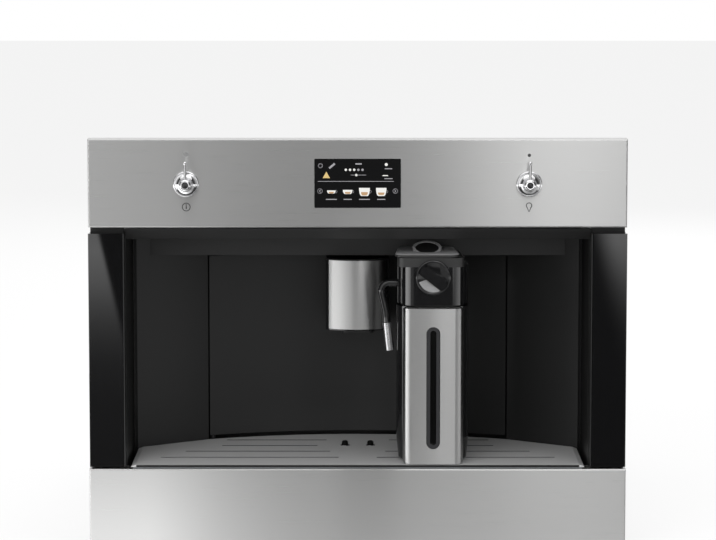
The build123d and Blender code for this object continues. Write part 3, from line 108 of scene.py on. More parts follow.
def math_node(tree, operation, *values, clamp=False):
    """The output of a math node."""
    node = tree.nodes.new("ShaderNodeMath")
    node.operation = operation
    node.use_clamp = clamp
    for i, value in enumerate(values):
        feed(tree, node.inputs[i], value)
    return node.outputs[0]


def times(tree, first, second):
    """A product."""
    return math_node(tree, "MULTIPLY", first, second)


def plus(tree, total, *others):
    """A sum of two or more."""
    for other in others:
        total = math_node(tree, "ADD", total, other)
    return total


def smooth_step(tree, value, start, end):
    """0 before start, 1 after end, with a soft rise between. End may lie below start."""
    rising = start < end
    step = new_node(tree, "ShaderNodeMapRange", Value=value, From_Min=min(start, end),
                    From_Max=max(start, end), To_Min=0.0 if rising else 1.0,
                    To_Max=1.0 if rising else 0.0)
    step.interpolation_type = "SMOOTHSTEP"
    return step.outputs["Result"]


def mix_values(tree, kind, share, first, second):
    """Mixes two values of a kind, FLOAT or RGBA: first where share is 0, second where it is 1."""
    mix = tree.nodes.new("ShaderNodeMix")
    mix.data_type = kind
    in_use = [socket for socket in mix.inputs if socket.enabled]
    for socket, value in zip(in_use, (share, first, second)):
        feed(tree, socket, value)
    return [socket for socket in mix.outputs if socket.enabled][0]


def object_place(tree):
    """The X, Y and Z of the point being shaded, in the object's own coordinates."""
    place = new_node(tree, "ShaderNodeTexCoord").outputs["Object"]
    return new_node(tree, "ShaderNodeSeparateXYZ", Vector=place).outputs


print("node helpers ready")

# %% [markdown]
# ## White surroundings
# The studio is white all round. A ray that leaves the camera, or bounces off metal or goes through
# glass, meets a plain white of strength 1. Rays that carry soft light to matt surfaces meet a lower
# level, so that colours render about as they are written. The floor is a pale sheet that keeps the
# soft shadow under the machine.

# %% Light helpers
def cleared_tree(owner):
    """The empty node tree of a world or a material."""
    owner.use_nodes = True
    owner.node_tree.nodes.clear()
    return owner.node_tree


def seen_by(tree, *rays):
    """1 for rays of the kinds named, 0 for all others."""
    path = new_node(tree, "ShaderNodeLightPath")
    seen = path.outputs[rays[0]]
    for ray in rays[1:]:
        seen = math_node(tree, "ADD", seen, path.outputs[ray], clamp=True)
    return seen


def white_light(tree, kind, strength):
    """The output of a white light node of a kind."""
    return new_node(tree, kind, Color=(1, 1, 1, 1), Strength=strength).outputs[0]


def mix_shaders(tree, share, first, second):
    """The first shader where share is 0, the second where it is 1."""
    mix = tree.nodes.new("ShaderNodeMixShader")
    for socket, value in zip(mix.inputs, (share, first, second)):
        feed(tree, socket, value)
    return mix.outputs[0]


def flat_sheet(name, low, high):
    """A rectangle between two corners that share their height, or share their depth."""
    (x0, y0, z0), (x1, y1, z1) = low, high
    mesh = bpy.data.meshes.new(name)
    mesh.from_pydata([(x0, y0, z0), (x1, y0, z0), (x1, y1, z1), (x0, y1, z1)], [], [(0, 1, 2, 3)])
    return add_object(name, mesh)


print("light helpers ready")

# %% [markdown]
# ## World and floor
# Both are a mix of two shaders, and the kind of ray chooses between them.

# %% The white studio
matt_level, mirror_level = 0.55, 1.0
world = bpy.data.worlds.new("white_studio")
scene.world = world
tree = cleared_tree(world)
bright = seen_by(tree, "Is Camera Ray", "Is Glossy Ray", "Is Transmission Ray")
sky = mix_shaders(tree, bright, white_light(tree, "ShaderNodeBackground", matt_level),
                  white_light(tree, "ShaderNodeBackground", mirror_level))
new_node(tree, "ShaderNodeOutputWorld", Surface=sky)

floor_reach, floor_z = 14, -0.0006
floor_glow_share = 0.8
floor_paint = bpy.data.materials.new("pale_floor")
tree = cleared_tree(floor_paint)
glow_share = times(tree, seen_by(tree, "Is Camera Ray", "Is Glossy Ray"), floor_glow_share)
matt = new_node(tree, "ShaderNodeBsdfDiffuse", Color=(0.9, 0.9, 0.9, 1)).outputs[0]
pale = mix_shaders(tree, glow_share, matt, white_light(tree, "ShaderNodeEmission", 1.0))
new_node(tree, "ShaderNodeOutputMaterial", Surface=pale)
floor = flat_sheet("studio_floor", (-floor_reach, -floor_reach, floor_z),
                   (floor_reach, floor_reach, floor_z))
floor.data.materials.append(floor_paint)
print("floor and white world ready")

# %% [markdown]
# ## Soft lamps
# Product pictures use large lamps so that no hard shadow shows. Five area lamps stand round the
# machine: a key from the upper left, a front one that reaches into the bay past the jug, a weak fill
# on the right, one above, and one behind so that the back can be looked at too. They light matt
# surfaces only; what the metal reflects is set by the cards of the next steps.

# %% Area lamps
def soft_lamp(name, place, aim, size, power):
    """A square area lamp that looks from its place to the aim point, with its power in watts."""
    data = bpy.data.lights.new(name, "AREA")
    data.shape = "SQUARE"
    data.size = size
    data.energy = power
    lamp = add_object(name, data)
    lamp.location = place
    lamp.rotation_euler = (Vector(aim) - Vector(place)).to_track_quat("-Z", "Y").to_euler()
    lamp.visible_glossy = False


soft_lamp("key_lamp", (-1.7, -2.3, 2.3), (0, 0, 0.2), 1.6, 34)
soft_lamp("front_lamp", (-0.6, -3.1, 1.1), (0.1, 0, 0.2), 1.2, 20)
soft_lamp("fill_lamp", (1.9, -2.0, 1.3), (0, 0, 0.2), 1.4, 8)
soft_lamp("top_lamp", (0, 0.1, 2.6), (0, 0.1, 0), 2.0, 26)
soft_lamp("rear_lamp", (0.6, 2.8, 1.7), (0, 0.3, 0.2), 2.0, 30)

# %% [markdown]
# ## Cards that the metal reflects
# Brushed steel has no colour of its own: it shows a blurred picture of the room. In the photograph
# the top panel is dark in the middle and bright near its right end, the bottom panel is brightest at
# its left, and the black glass beside the bay shows a slanting bright edge. So the room is made to
# fit: a curved card behind the camera, a card on the floor with its own pattern near the machine and
# further off, and some smaller cards close by. Only mirror-like rays see them. Their tone runs
# smoothly, as light does on a paper roll, and is written as stops of a place and a level.

# %% Card helpers
highest_level = 4.0


def level_curve(tree, value, stops):
    """Straight runs between (value, level) stops. Levels may go up to highest_level."""
    low, high = stops[0][0], stops[-1][0]
    share = math_node(tree, "MULTIPLY_ADD", value, 1 / (high - low), -low / (high - low))
    ramp = new_node(tree, "ShaderNodeValToRGB", Fac=share)
    ramp.color_ramp.interpolation = "LINEAR"
    elements = ramp.color_ramp.elements
    for i, (where, level) in enumerate(stops):
        at = (where - low) / (high - low)
        stop = elements[i] if i < 2 else elements.new(at)
        stop.position = at
        stop.color = (level / highest_level,) * 3 + (1,)
    return times(tree, ramp.outputs["Color"], highest_level)


def card_paint(name, level):
    """A white glow. Its strength is a number, or what level() makes from the card's coordinates."""
    paint = bpy.data.materials.new(name)
    tree = cleared_tree(paint)
    strength = level(tree, *object_place(tree)) if callable(level) else level
    new_node(tree, "ShaderNodeOutputMaterial",
             Surface=white_light(tree, "ShaderNodeEmission", strength))
    return paint


def hang_card(card, level):
    """Paints a card and shows it in reflections alone."""
    card.data.materials.append(card_paint(card.name + "_glow", level))
    card.visible_camera = False
    card.visible_diffuse = False
    card.visible_transmission = False
    card.visible_volume_scatter = False
    card.visible_shadow = False
    print(card.name, len(card.data.polygons), "faces")


def curved_wall(name, radius, low, high, stops, steps):
    """An upright card along an arc about the machine. The stops' places are angles in degrees, 0
    straight ahead of the machine and more to the right."""
    start, end = stops[0][0], stops[-1][0]
    verts = []
    for i in range(steps + 1):
        angle = math.radians(start + (end - start) * i / steps)
        verts += [(radius * math.sin(angle), -radius * math.cos(angle), z) for z in (low, high)]
    mesh = bpy.data.meshes.new(name)
    mesh.from_pydata(verts, [], [(2 * i, 2 * i + 2, 2 * i + 3, 2 * i + 1) for i in range(steps)])

    def level(tree, x, y, z):
        angle = math_node(tree, "ARCTAN2", x, times(tree, y, -1.0))
        return level_curve(tree, math_node(tree, "DEGREES", angle), stops)

    hang_card(add_object(name, mesh), level)


print("card helpers ready")

# %% [markdown]
# ## The curved card behind the camera
# The panel is flat, so each place on it mirrors one direction: the stops between about -10 and 10
# degrees are the panel's tones from left to right. Those further out are for the knobs and for the
# round edges.

# %% The room card
room_levels = ((-150, 0.8), (-135, 0.05), (-80, 0.05), (-60, 0.12), (-45, 0.5), (-30, 0.95),
               (-17, 0.85), (-12, 0.65), (-10.4, 0.5), (-8.2, 0.80), (-5.6, 0.62), (-3.4, 0.50),
               (0, 0.42), (2.0, 0.48), (3.0, 0.65), (4.4, 1.10), (6.0, 1.90), (7.5, 2.4),
               (8.8, 2.3), (10.2, 1.8), (12.5, 0.7), (17, 0.45), (28, 0.30), (45, 0.12),
               (60, 0.05), (135, 0.05), (150, 0.8))
curved_wall("room_card", 3.6, -0.001, 3.2, room_levels, steps=60)

# %% [markdown]
# ## The card on the floor
# A low place on the front mirrors the floor close by, and a higher place mirrors it further off. So
# the near part of this card colours the bottom panel, and the far part the black glass beside the
# bay. The top panel mirrors the curved card, and its brushing blurs some of the floor in. A mirrored
# ray moves outwards as it goes, and dividing by that spread makes the near stops places across the
# front, in metres.

# %% The floor card
camera_distance = 3.0
near_levels = ((-0.34, 1.6), (-0.23, 1.62), (-0.205, 1.42), (-0.159, 1.02), (-0.131, 0.86),
               (-0.098, 0.72), (-0.064, 0.62), (-0.009, 0.52), (0.024, 0.48), (0.08, 0.44),
               (0.113, 0.38), (0.147, 0.30), (0.213, 0.27), (0.25, 0.30), (0.34, 0.42))
left_levels = ((0.4, 0.03), (0.96, 0.05), (1.33, 0.10), (1.54, 0.18), (1.77, 0.31), (2.02, 0.52),
               (2.3, 0.82), (2.62, 1.05), (2.85, 1.18), (3.5, 1.0))
right_levels = ((0.4, 0.03), (1.33, 0.07), (1.65, 0.12), (2.02, 0.30), (2.3, 0.50), (2.62, 0.80),
                (3.0, 1.15), (3.5, 1.2))
left_slope, left_edge = 0.121, (-0.198, -0.209)
right_slope, right_edge = -0.065, (0.32, 0.38)
left_side, left_side_edge = 0.8, (-0.66, -0.85)
right_side, right_side_edge = 0.5, (0.60, 0.80)
far_floor, far_edge = 0.04, (0.36, 0.48)


def level_on_floor(tree, x, y, z):
    """Near the machine a slope from bright left to dim right. Further off dark, with bright fields
    left and right whose edges run outwards."""
    away = times(tree, y, -1.0)
    spread_out = math_node(tree, "MULTIPLY_ADD", away, 1 / camera_distance, 1.0)
    near = level_curve(tree, math_node(tree, "DIVIDE", x, spread_out), near_levels)
    past_left = smooth_step(tree, plus(tree, x, times(tree, away, left_slope)), *left_edge)
    past_right = smooth_step(tree, plus(tree, x, times(tree, away, right_slope)), *right_edge)
    far = plus(tree, times(tree, past_left, level_curve(tree, away, left_levels)),
               times(tree, past_right, level_curve(tree, away, right_levels)), far_floor,
               times(tree, smooth_step(tree, x, *left_side_edge), left_side),
               times(tree, smooth_step(tree, x, *right_side_edge), right_side))
    further = smooth_step(tree, away, *far_edge)
    nearer = math_node(tree, "SUBTRACT", 1.0, further)
    return plus(tree, times(tree, near, nearer), times(tree, far, further))


hang_card(flat_sheet("floor_card", (-3.2, -3.5, 0.0004), (3.2, -0.03, 0.0004)), level_on_floor)

# %% [markdown]
# ## Strips, a flag and a roof
# Low strips at both sides draw the long highlights down the lid's and the jug's edges, the left one
# the brighter. A small grey flag in front of the bay keeps the card's bright end out of the spout's
# curved cover, and a white roof gives the knobs their bright upper half.

# %% The small cards
left_strip_levels = ((-106, 3.0), (-66, 3.4), (-46, 2.6), (-36, 1.8), (-26, 0.7))
right_strip_levels = ((24, 0.4), (38, 0.75), (60, 1.35), (80, 1.6), (100, 1.4))
curved_wall("left_strip", 1.5, 0.0, 0.22, left_strip_levels, steps=20)
curved_wall("right_strip", 1.5, 0.0, 0.22, right_strip_levels, steps=20)
hang_card(flat_sheet("spout_flag", (-0.02, -0.14, 0.12), (0.046, -0.14, 0.31)), 0.33)
hang_card(flat_sheet("roof_card", (-1.1, -2.6, 2.2), (1.1, -0.2, 2.2)), 1.5)

# %% [markdown]
# ## A helper for surfaces
# Real metal and moulded plastic are never one flat tone. Under a lens each has grain, and the grain
# changes both how rough it is and how its normal leans. One helper makes a Principled surface with a
# noise that can be stretched along an axis: long and thin for brushing, round for cast or moulded
# grain. Numbers that are the same all over are set on the shader's own sockets.

# %% The surface helper
noise_span = (0.3, 0.7)
noise_roughness = 0.62


def triple(value):
    """Three numbers, from three or from one that stands for all."""
    return value if isinstance(value, tuple) else (value,) * 3


def surface(name, colour, metal=0.0, rough=(0.3, 0.4), grain=800, detail=4.0, bump=0.05,
            depth=0.0002, tint=0.06, spread=None, **sockets):
    """A Principled material on Object coordinates. The grain moves roughness over the range rough
    and the colour by the share tint, and leans the normal by bump and depth. spread is the
    direction in which brushing smears light. Other names are sockets of the shader."""
    material = bpy.data.materials.new(name)
    material.use_nodes = True
    tree = material.node_tree
    colour = triple(colour)
    dark = tuple(c * (1 - tint) for c in colour) + (1,)
    light = tuple(min(1.0, c * (1 + tint)) for c in colour) + (1,)
    place = new_node(tree, "ShaderNodeTexCoord").outputs["Object"]
    stretched = new_node(tree, "ShaderNodeMapping", Vector=place, Scale=triple(grain))
    noise = new_node(tree, "ShaderNodeTexNoise", Vector=stretched.outputs["Vector"], Scale=1.0,
                     Detail=detail, Roughness=noise_roughness).outputs["Fac"]
    levels = new_node(tree, "ShaderNodeMapRange", Value=noise, From_Min=noise_span[0],
                      From_Max=noise_span[1], To_Min=rough[0], To_Max=rough[1])
    lean = new_node(tree, "ShaderNodeBump", Strength=bump, Distance=depth, Height=noise)
    looks = {"Base_Color": mix_values(tree, "RGBA", noise, dark, light), "Metallic": metal,
             "Roughness": levels.outputs["Result"], "Normal": lean.outputs["Normal"], **sockets}
    if spread:
        turn = new_node(tree, "ShaderNodeVectorTransform", Vector=spread)
        turn.vector_type = "VECTOR"
        turn.convert_from = "OBJECT"
        turn.convert_to = "WORLD"
        looks["Tangent"] = turn.outputs["Vector"]
    shader = tree.nodes["Principled BSDF"]
    for title, value in looks.items():
        feed(tree, shader.inputs[title.replace("_", " ")], value)
    material.diffuse_color = colour + (1,)
    return material


print("surface helper ready")

# %% [markdown]
# ## Zones
# Some moulded pieces and the tray change their finish from one place to another: painted shade
# darkens a cut edge that lies in shadow, a lip is matt, and painted light makes a plate's top pale.
# A zone mixes the second finish in along one axis.

# %% Zones and dressing
zone_side_fade = 0.0003


def zone(material, axis, start, end, colour, rough, within=None):
    """Turns a surface to another colour and roughness between two places along an axis, in metres,
    and where within is given only as far as that from the middle of the machine."""
    tree = material.node_tree
    shader = tree.nodes["Principled BSDF"]
    place = object_place(tree)
    inside = smooth_step(tree, place[axis], start, end)
    if within:
        from_middle = math_node(tree, "ABSOLUTE", place["X"])
        inside = times(tree, inside,
                       smooth_step(tree, from_middle, within + zone_side_fade, within))
    for title, kind, value in (("Base Color", "RGBA", triple(colour) + (1,)),
                               ("Roughness", "FLOAT", rough)):
        before = shader.inputs[title].links[0].from_socket
        feed(tree, shader.inputs[title], mix_values(tree, kind, inside, before, value))


def dress(material, *names):
    """Gives CAD nodes a material in every slot that they have."""
    for name in names:
        mesh = nodes[name].data
        mesh.materials.clear()
        mesh.materials.append(material)
        for polygon in mesh.polygons:
            polygon.material_index = 0
    print(material.name, "on", len(names), "nodes")


def in_slot(slot):
    """The CAD nodes that have a material slot of the record."""
    return [node for node, its_slot in slot_of.items() if its_slot == slot]


print("slots of the record", sorted(set(slot_of.values())))

# %% [markdown]
# ## Brushed steel
# The panels are brushed from side to side. Each scratch is a tiny groove along X, so light spreads
# up and down but hardly sideways. That could be bump alone, but at this size the scratches are finer
# than a pixel, so the anisotropic setting does the spreading and a stretched noise adds the streaks
# that the eye does see. The drip grid has painted shade: near black and matt inside its slots and
# along its front bend.

# %% Steel finishes
up, inwards = (0, 0, 1), (0, 1, 0)
steel_colour = (0.62, 0.62, 0.615)
brushed_steel = surface("brushed_steel", steel_colour, metal=1.0, rough=(0.27, 0.30),
                        grain=(5, 1500, 1500), detail=8.0, bump=0.012, depth=0.00003, tint=0.02,
                        spread=up, Anisotropic=1.0)
dress(brushed_steel, "control_panel", "lower_fascia")
cover_steel = surface("cover_steel", steel_colour, metal=1.0, rough=(0.30, 0.36),
                      grain=(18, 2200, 2200), detail=5.0, bump=0.05, depth=0.00005, tint=0.05,
                      spread=up, Anisotropic=0.85)
dress(cover_steel, "spout_cover", "jug_cover")
tray_steel = surface("tray_steel", 0.56, metal=0.45, rough=(0.36, 0.44), grain=(14, 1500, 1500),
                     detail=5.0, bump=0.05, depth=0.00005, tint=0.06, spread=inwards,
                     Anisotropic=0.8)
# Painted shade: below the grid's top face, in its slots and along its front bend, the steel is
# painted near black and matt, short of the grid's two ends.
grid_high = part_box("drip_grid")[1]
grid_end = 0.0055
zone(tray_steel, "Z", grid_high.z - 0.00003, grid_high.z - 0.00012, 0.010, 0.6,
     within=grid_high.x - grid_end)
dress(tray_steel, "drip_grid")
zinc_sheet = surface("zinc_sheet", (0.58, 0.59, 0.60), metal=1.0, rough=(0.32, 0.5), grain=60,
                     detail=6.0, bump=0.04, depth=0.0003, tint=0.10)
dress(zinc_sheet, *in_slot("steel_sheet"))

# %% [markdown]
# ## Chrome and glass
# Polished metal and gloss plastic are mirrors of different strength: chrome returns most of the
# light, black glass about a twenty-fifth of it when seen square on. Even so a perfectly even mirror
# looks false, so each has a very weak, wide waviness such as polishing and moulding leave.

# %% Mirror-like finishes
chrome = surface("polished_chrome", (0.86, 0.86, 0.87), metal=1.0, rough=(0.04, 0.08), grain=120,
                 bump=0.01, depth=0.0004, tint=0.01)
dress(chrome, "left_knob", "right_knob")
satin_chrome = surface("satin_chrome", (0.80, 0.80, 0.81), metal=1.0, rough=(0.20, 0.28),
                       grain=(600, 600, 60), bump=0.03, depth=0.0001, tint=0.03)
dress(satin_chrome, "milk_nozzle")
black_glass = surface("black_glass", (0.003, 0.003, 0.0033), rough=(0.015, 0.03), grain=9,
                      detail=1.0, bump=0.01, depth=0.0006, tint=0.1, Specular_IOR_Level=1.0)
dress(black_glass, "column_glasses")
screen_glass = surface("screen_glass", (0.003, 0.003, 0.0033), rough=(0.03, 0.06), grain=9,
                       detail=1.0, bump=0.01, depth=0.0004, tint=0.1, Specular_IOR_Level=0.15)
dress(screen_glass, "display_glass")

# %% [markdown]
# ## Black mouldings
# The jug, its lid, the spout's housing and the dial are gloss black. From its lip upwards the lid is
# more matt, and the top face of its plate is pale grey, part its own grey and part painted light for
# what that face catches. Both heights are a step from the top of the froth dial, so they follow the
# frame.

# %% Gloss and satin black
gloss_black = surface("gloss_black", (0.008, 0.008, 0.0085), rough=(0.06, 0.10), grain=90,
                      bump=0.012, depth=0.0005, tint=0.1, Specular_IOR_Level=0.8)
dress(gloss_black, "spout_housing", "jug_container", "froth_dial", "milk_tube")
lid_black = surface("lid_black", (0.006, 0.006, 0.0065), rough=(0.09, 0.13), grain=90,
                    bump=0.012, depth=0.0005, tint=0.1, Specular_IOR_Level=0.8)
dial_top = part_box("froth_dial")[1].z
lip_low = dial_top - 0.0085
plate_high = dial_top + 0.0055
zone(lid_black, "Z", lip_low - 0.0001, lip_low + 0.0001, 0.013, 0.45)
# Painted light: the plate's top face is painted pale grey for the light that it catches.
zone(lid_black, "Z", plate_high - 0.0006, plate_high - 0.0001, (0.42, 0.42, 0.425), 0.5)
print("lip from", round(lip_low, 4), "plate up to", round(plate_high, 4))
dress(lid_black, "jug_lid")
satin_black = surface("satin_black", 0.016, rough=(0.38, 0.5), grain=1800, bump=0.12,
                      depth=0.0002, tint=0.15)
dress(satin_black, *in_slot("satin_black"))

# %% [markdown]
# ## Lacquer and plastics
# The bay is lined with dark grey sheet under a satin lacquer. It is almost black, yet the photograph
# shows it softly shining where it leans to the light. A fine round grain and a middle roughness give
# that. The jug's window is a grey rim round a black slot, so it has a zone by depth.

# %% Lacquer and plastics
bay_lacquer = surface("bay_lacquer", 0.0125, rough=(0.36, 0.46), grain=1400, bump=0.10,
                      depth=0.00015, tint=0.12)
dress(bay_lacquer, *in_slot("bay_grey"))
grey_moulding = surface("grey_moulding", (0.20, 0.21, 0.22), rough=(0.45, 0.6), grain=1200,
                        bump=0.12, tint=0.08)
dress(grey_moulding, *in_slot("inner_grey"))
tank_plastic = surface("tank_plastic", (0.78, 0.84, 0.88), rough=(0.08, 0.14), grain=40,
                       bump=0.02, depth=0.0005, tint=0.03, Transmission_Weight=0.85, IOR=1.49)
dress(tank_plastic, "water_tank")
smoke_plastic = surface("smoke_plastic", (0.030, 0.030, 0.032), rough=(0.08, 0.14), grain=60,
                        bump=0.02, depth=0.0005, tint=0.1)
dress(smoke_plastic, "bean_hopper")
window_plastic = surface("window_plastic", (0.034, 0.034, 0.036), rough=(0.10, 0.16), grain=60,
                         bump=0.02, depth=0.0005, tint=0.1)
window_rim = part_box("jug_window")[0].y
zone(window_plastic, "Y", window_rim + 0.0003, window_rim + 0.0006, 0.002, 0.15)
dress(window_plastic, "jug_window")

# %% [markdown]
# ## Parts inside
# Lamp lenses, grinder, boiler, boards and milk hose hardly show, and some never do, but the model
# can be taken apart. So each gets a finish of its own instead of none.

# %% Inner finishes
lens_frost = surface("lens_frost", (0.85, 0.85, 0.82), rough=(0.35, 0.5), grain=900, bump=0.1,
                     tint=0.03)
dress(lens_frost, "lamp_lenses")
burr_steel = surface("burr_steel", (0.55, 0.55, 0.57), metal=1.0, rough=(0.2, 0.32), grain=500,
                     bump=0.06)
dress(burr_steel, "grinder_burr")
boiler_alloy = surface("boiler_alloy", (0.66, 0.66, 0.67), metal=1.0, rough=(0.42, 0.58),
                       grain=500, bump=0.15, depth=0.0003, tint=0.08)
dress(boiler_alloy, "boiler")
board_green = surface("board_green", (0.03, 0.16, 0.07), grain=300, tint=0.2)
dress(board_green, "display_board", "power_board")
milk_hose = surface("milk_hose", (0.33, 0.33, 0.32), rough=(0.4, 0.5), grain=300, tint=0.05)
dress(milk_hose, "pickup_tube")
bare = [n for n in nodes if not n.startswith("_") and not nodes[n].data.materials]
print("nodes without a finish", bare)

# %% [markdown]
# ## Thin prints
# The marks on the steel and the picture on the display are flat colour, a few hundredths of a
# millimetre thick. They could be drawn in a texture, but small shapes of their own stay sharp from
# any distance. Each shape is an outline of (x, z) points in millimetres.

# %% Outline helpers
def on_circle(x, z, radius, turn):
    """The point on a circle about (x, z) at a turn in radians from the right, going up."""
    return x + radius * math.cos(turn), z + radius * math.sin(turn)


def disc(x, z, radius, count):
    """A round outline about (x, z)."""
    return [on_circle(x, z, radius, 2 * math.pi * i / count) for i in range(count)]


def bar(x, z, width, height):
    """An upright rectangle centred on (x, z)."""
    left, right, low, high = x - width / 2, x + width / 2, z - height / 2, z + height / 2
    return [(left, low), (right, low), (right, high), (left, high)]


def arc(x, z, radius, start, end, count):
    """Points along an arc, with angles in degrees from the right, going up."""
    return [on_circle(x, z, radius, math.radians(start + (end - start) * i / count))
            for i in range(count + 1)]


def stroke(points, width):
    """A drawn line of even width as a row of quads, so that bends stay filled."""
    quads = []
    for (ax, az), (bx, bz) in zip(points, points[1:]):
        length = math.hypot(bx - ax, bz - az)
        ux, uz = (bx - ax) / length * width / 2, (bz - az) / length * width / 2
        quads.append([(ax - ux - uz, az - uz + ux), (ax - ux + uz, az - uz - ux),
                      (bx + ux + uz, bz + uz - ux), (bx + ux - uz, bz + uz + ux)])
    return quads


print("outline helpers ready")

# %% [markdown]
# ## From shapes to pieces
# An outline is given a hair of thickness towards the user, and all the shapes of one colour become
# one mesh. Every added piece ends the same way: it gets its material and rides on a body of the
# frame.

# %% Piece helpers
def add_piece(name, form, material, body, smooth=True):
    """Turns a bmesh into a piece that rides on a body."""
    mesh = bpy.data.meshes.new(name)
    form.to_mesh(mesh)
    form.free()
    for polygon in mesh.polygons:
        polygon.use_smooth = smooth
    piece = add_object(name, mesh)
    mesh.materials.append(material)
    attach(piece, body)
    print(name, len(mesh.polygons), "faces")


def add_print(name, outlines, centre, face_y, lift, material, body):
    """One piece from flat outlines about a centre (x, z), on the plane y = face_y, thickened
    towards the user by lift, all in millimetres."""
    form = bmesh.new()
    for outline in outlines:
        area = sum(ax * bz - bx * az
                   for (ax, az), (bx, bz) in zip(outline, outline[1:] + outline[:1]))
        ring = [(x + centre[0], z + centre[1]) for x, z in (outline if area > 0 else outline[::-1])]
        back = [form.verts.new((x / 1000, face_y / 1000, z / 1000)) for x, z in ring]
        front = [form.verts.new((x / 1000, (face_y - lift) / 1000, z / 1000)) for x, z in ring]
        form.faces.new(front)
        form.faces.new(back[::-1])
        for i in range(len(ring)):
            j = (i + 1) % len(ring)
            form.faces.new((back[i], back[j], front[j], front[i]))
    add_piece(name, form, material, body, smooth=False)


print("piece helpers ready")

# %% [markdown]
# ## Marks beside the knobs
# Above each knob is a dot that its pin points at. Below the left one is a ring with a small upright
# bar, below the right one a lamp sign. They are dark enamel, slightly matt against the steel. The
# knobs are equally far from the middle, so the right one's place is the left one's mirrored.

# %% Enamel marks
knob_low, knob_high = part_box("left_knob")
left_x = (knob_low.x + knob_high.x) / 2 * 1000
right_x = -left_x
steel_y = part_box("control_panel")[0].y * 1000
sign_z, dot_z = 381.8, 439.0
line, enamel_lift = 0.8, 0.05
# The dark enamel also colours the screws' cross recesses further down, as painted shade there.
enamel_and_recess_shade = surface("dark_enamel_and_recess_shade", (0.035, 0.035, 0.036), rough=(0.4, 0.5), grain=2500, tint=0.1)
pale_enamel = surface("grey_enamel", 0.20, rough=(0.4, 0.5), grain=2500, tint=0.1)
start_sign = stroke(arc(left_x, 0, 4.3, 0, 360, 28), line)
start_sign += [bar(left_x, -0.5, 1.2, 3.4), disc(left_x, 2.3, 0.75, 12)]
lamp_sign = stroke(arc(right_x, 1.6, 3.0, -50, 230, 22), line)
for side in (-1, 1):
    lamp_sign += stroke([(right_x + side * 1.9, -0.8), (right_x + side * 1.3, -2.6)], line)
lamp_sign += [bar(right_x, -3.4, 2.7, 0.7), bar(right_x, -4.6, 2.1, 0.8)]
right_dot = disc(right_x, dot_z - sign_z, 1.9, 18)
add_print("panel_marks", start_sign + lamp_sign + [right_dot], (0, sign_z), steel_y, enamel_lift,
          enamel_and_recess_shade, "machine")
add_print("start_dot", [disc(left_x, 1.0, 2.7, 24)], (0, dot_z), steel_y, enamel_lift,
          pale_enamel, "machine")

# %% [markdown]
# ## The display's colours
# Behind the black glass a colour panel shows small pictures: signs and bars at the top, a thin
# dividing line, and a row of cups with an arrow at each end. The picture here is a plain layout of
# generic signs with bars in place of words, in glowing colours just over the glass.

# %% Display colours
def glowing(name, colour, strength):
    """A lit print: a dim base colour that also gives off its own colour, with a faint grain."""
    return surface(name, tuple(c * 0.5 for c in colour), grain=3000, bump=0.02, tint=0.1,
                   Emission_Color=colour + (1,), Emission_Strength=strength)


screen_white = glowing("screen_white", (0.80, 0.79, 0.76), 0.5)
screen_grey = glowing("screen_grey", (0.36, 0.35, 0.37), 0.40)
screen_gold = glowing("screen_gold", (0.72, 0.52, 0.20), 0.42)
screen_coffee = glowing("screen_coffee", (0.50, 0.30, 0.15), 0.45)
glass_low, glass_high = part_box("display_glass")
screen_centre = ((glass_low.x + glass_high.x) / 2 * 1000, (glass_low.z + glass_high.z) / 2 * 1000)
screen_y = glass_low.y * 1000
print("display centre", [round(v, 1) for v in screen_centre], "face", round(screen_y, 2))

# %% [markdown]
# ## The row of cups
# Each cup is a white bowl with coffee inside, a grey handle and a bar for its name. Places are in
# millimetres from the middle of the display.

# %% Cups and arrows
def cup(x, z, width, height, steps=8, foot=0.22):
    """A bowl that narrows to its foot, which is in by a share of the width on each side."""
    right = []
    for i in range(steps + 1):
        turn = math.pi / 2 * i / steps
        reach = width / 2 - width * foot * (1 - math.cos(turn))
        right.append((reach, z + height / 2 - height * math.sin(turn)))
    return [(x + reach, depth) for reach, depth in right] + \
           [(x - reach, depth) for reach, depth in reversed(right)]


white_shapes, grey_shapes, coffee_shapes = [], [], []
row_z = -10.5
cups = ((-29.0, 9.5, 3.4, 0.5, 12.0), (-11.0, 10.5, 4.6, 0.45, 9.0), (7.5, 12.0, 9.0, 0.4, 12.0),
        (26.0, 11.5, 9.0, 0.3, 9.0))
for x, width, height, fill, name_width in cups:
    white_shapes.append(cup(x, row_z + 1.0, width, height))
    coffee_shapes.append(cup(x, row_z + 1.0 - height * 0.22, width * 0.62, height * fill))
    grey_shapes += stroke(arc(x + width * 0.5, row_z + 1.4, 1.5, -80, 80, 8), 0.5)
    grey_shapes.append(bar(x, row_z - 7.2, name_width, 1.0))
for side in (-1, 1):
    arrow_x, tip = side * 41.5, side * 0.8
    grey_shapes += stroke(arc(arrow_x, row_z + 2.0, 2.6, 0, 360, 20), 0.5)
    grey_shapes += stroke([(arrow_x - tip, row_z + 3.4), (arrow_x + tip, row_z + 2.0),
                           (arrow_x - tip, row_z + 0.6)], 0.6)
print("cups", len(cups))

# %% [markdown]
# ## Signs above the cups
# Bars stand for words, and dots for a strength setting. A small triangle, an open ring and a slanting
# stroke are the signs at the left.

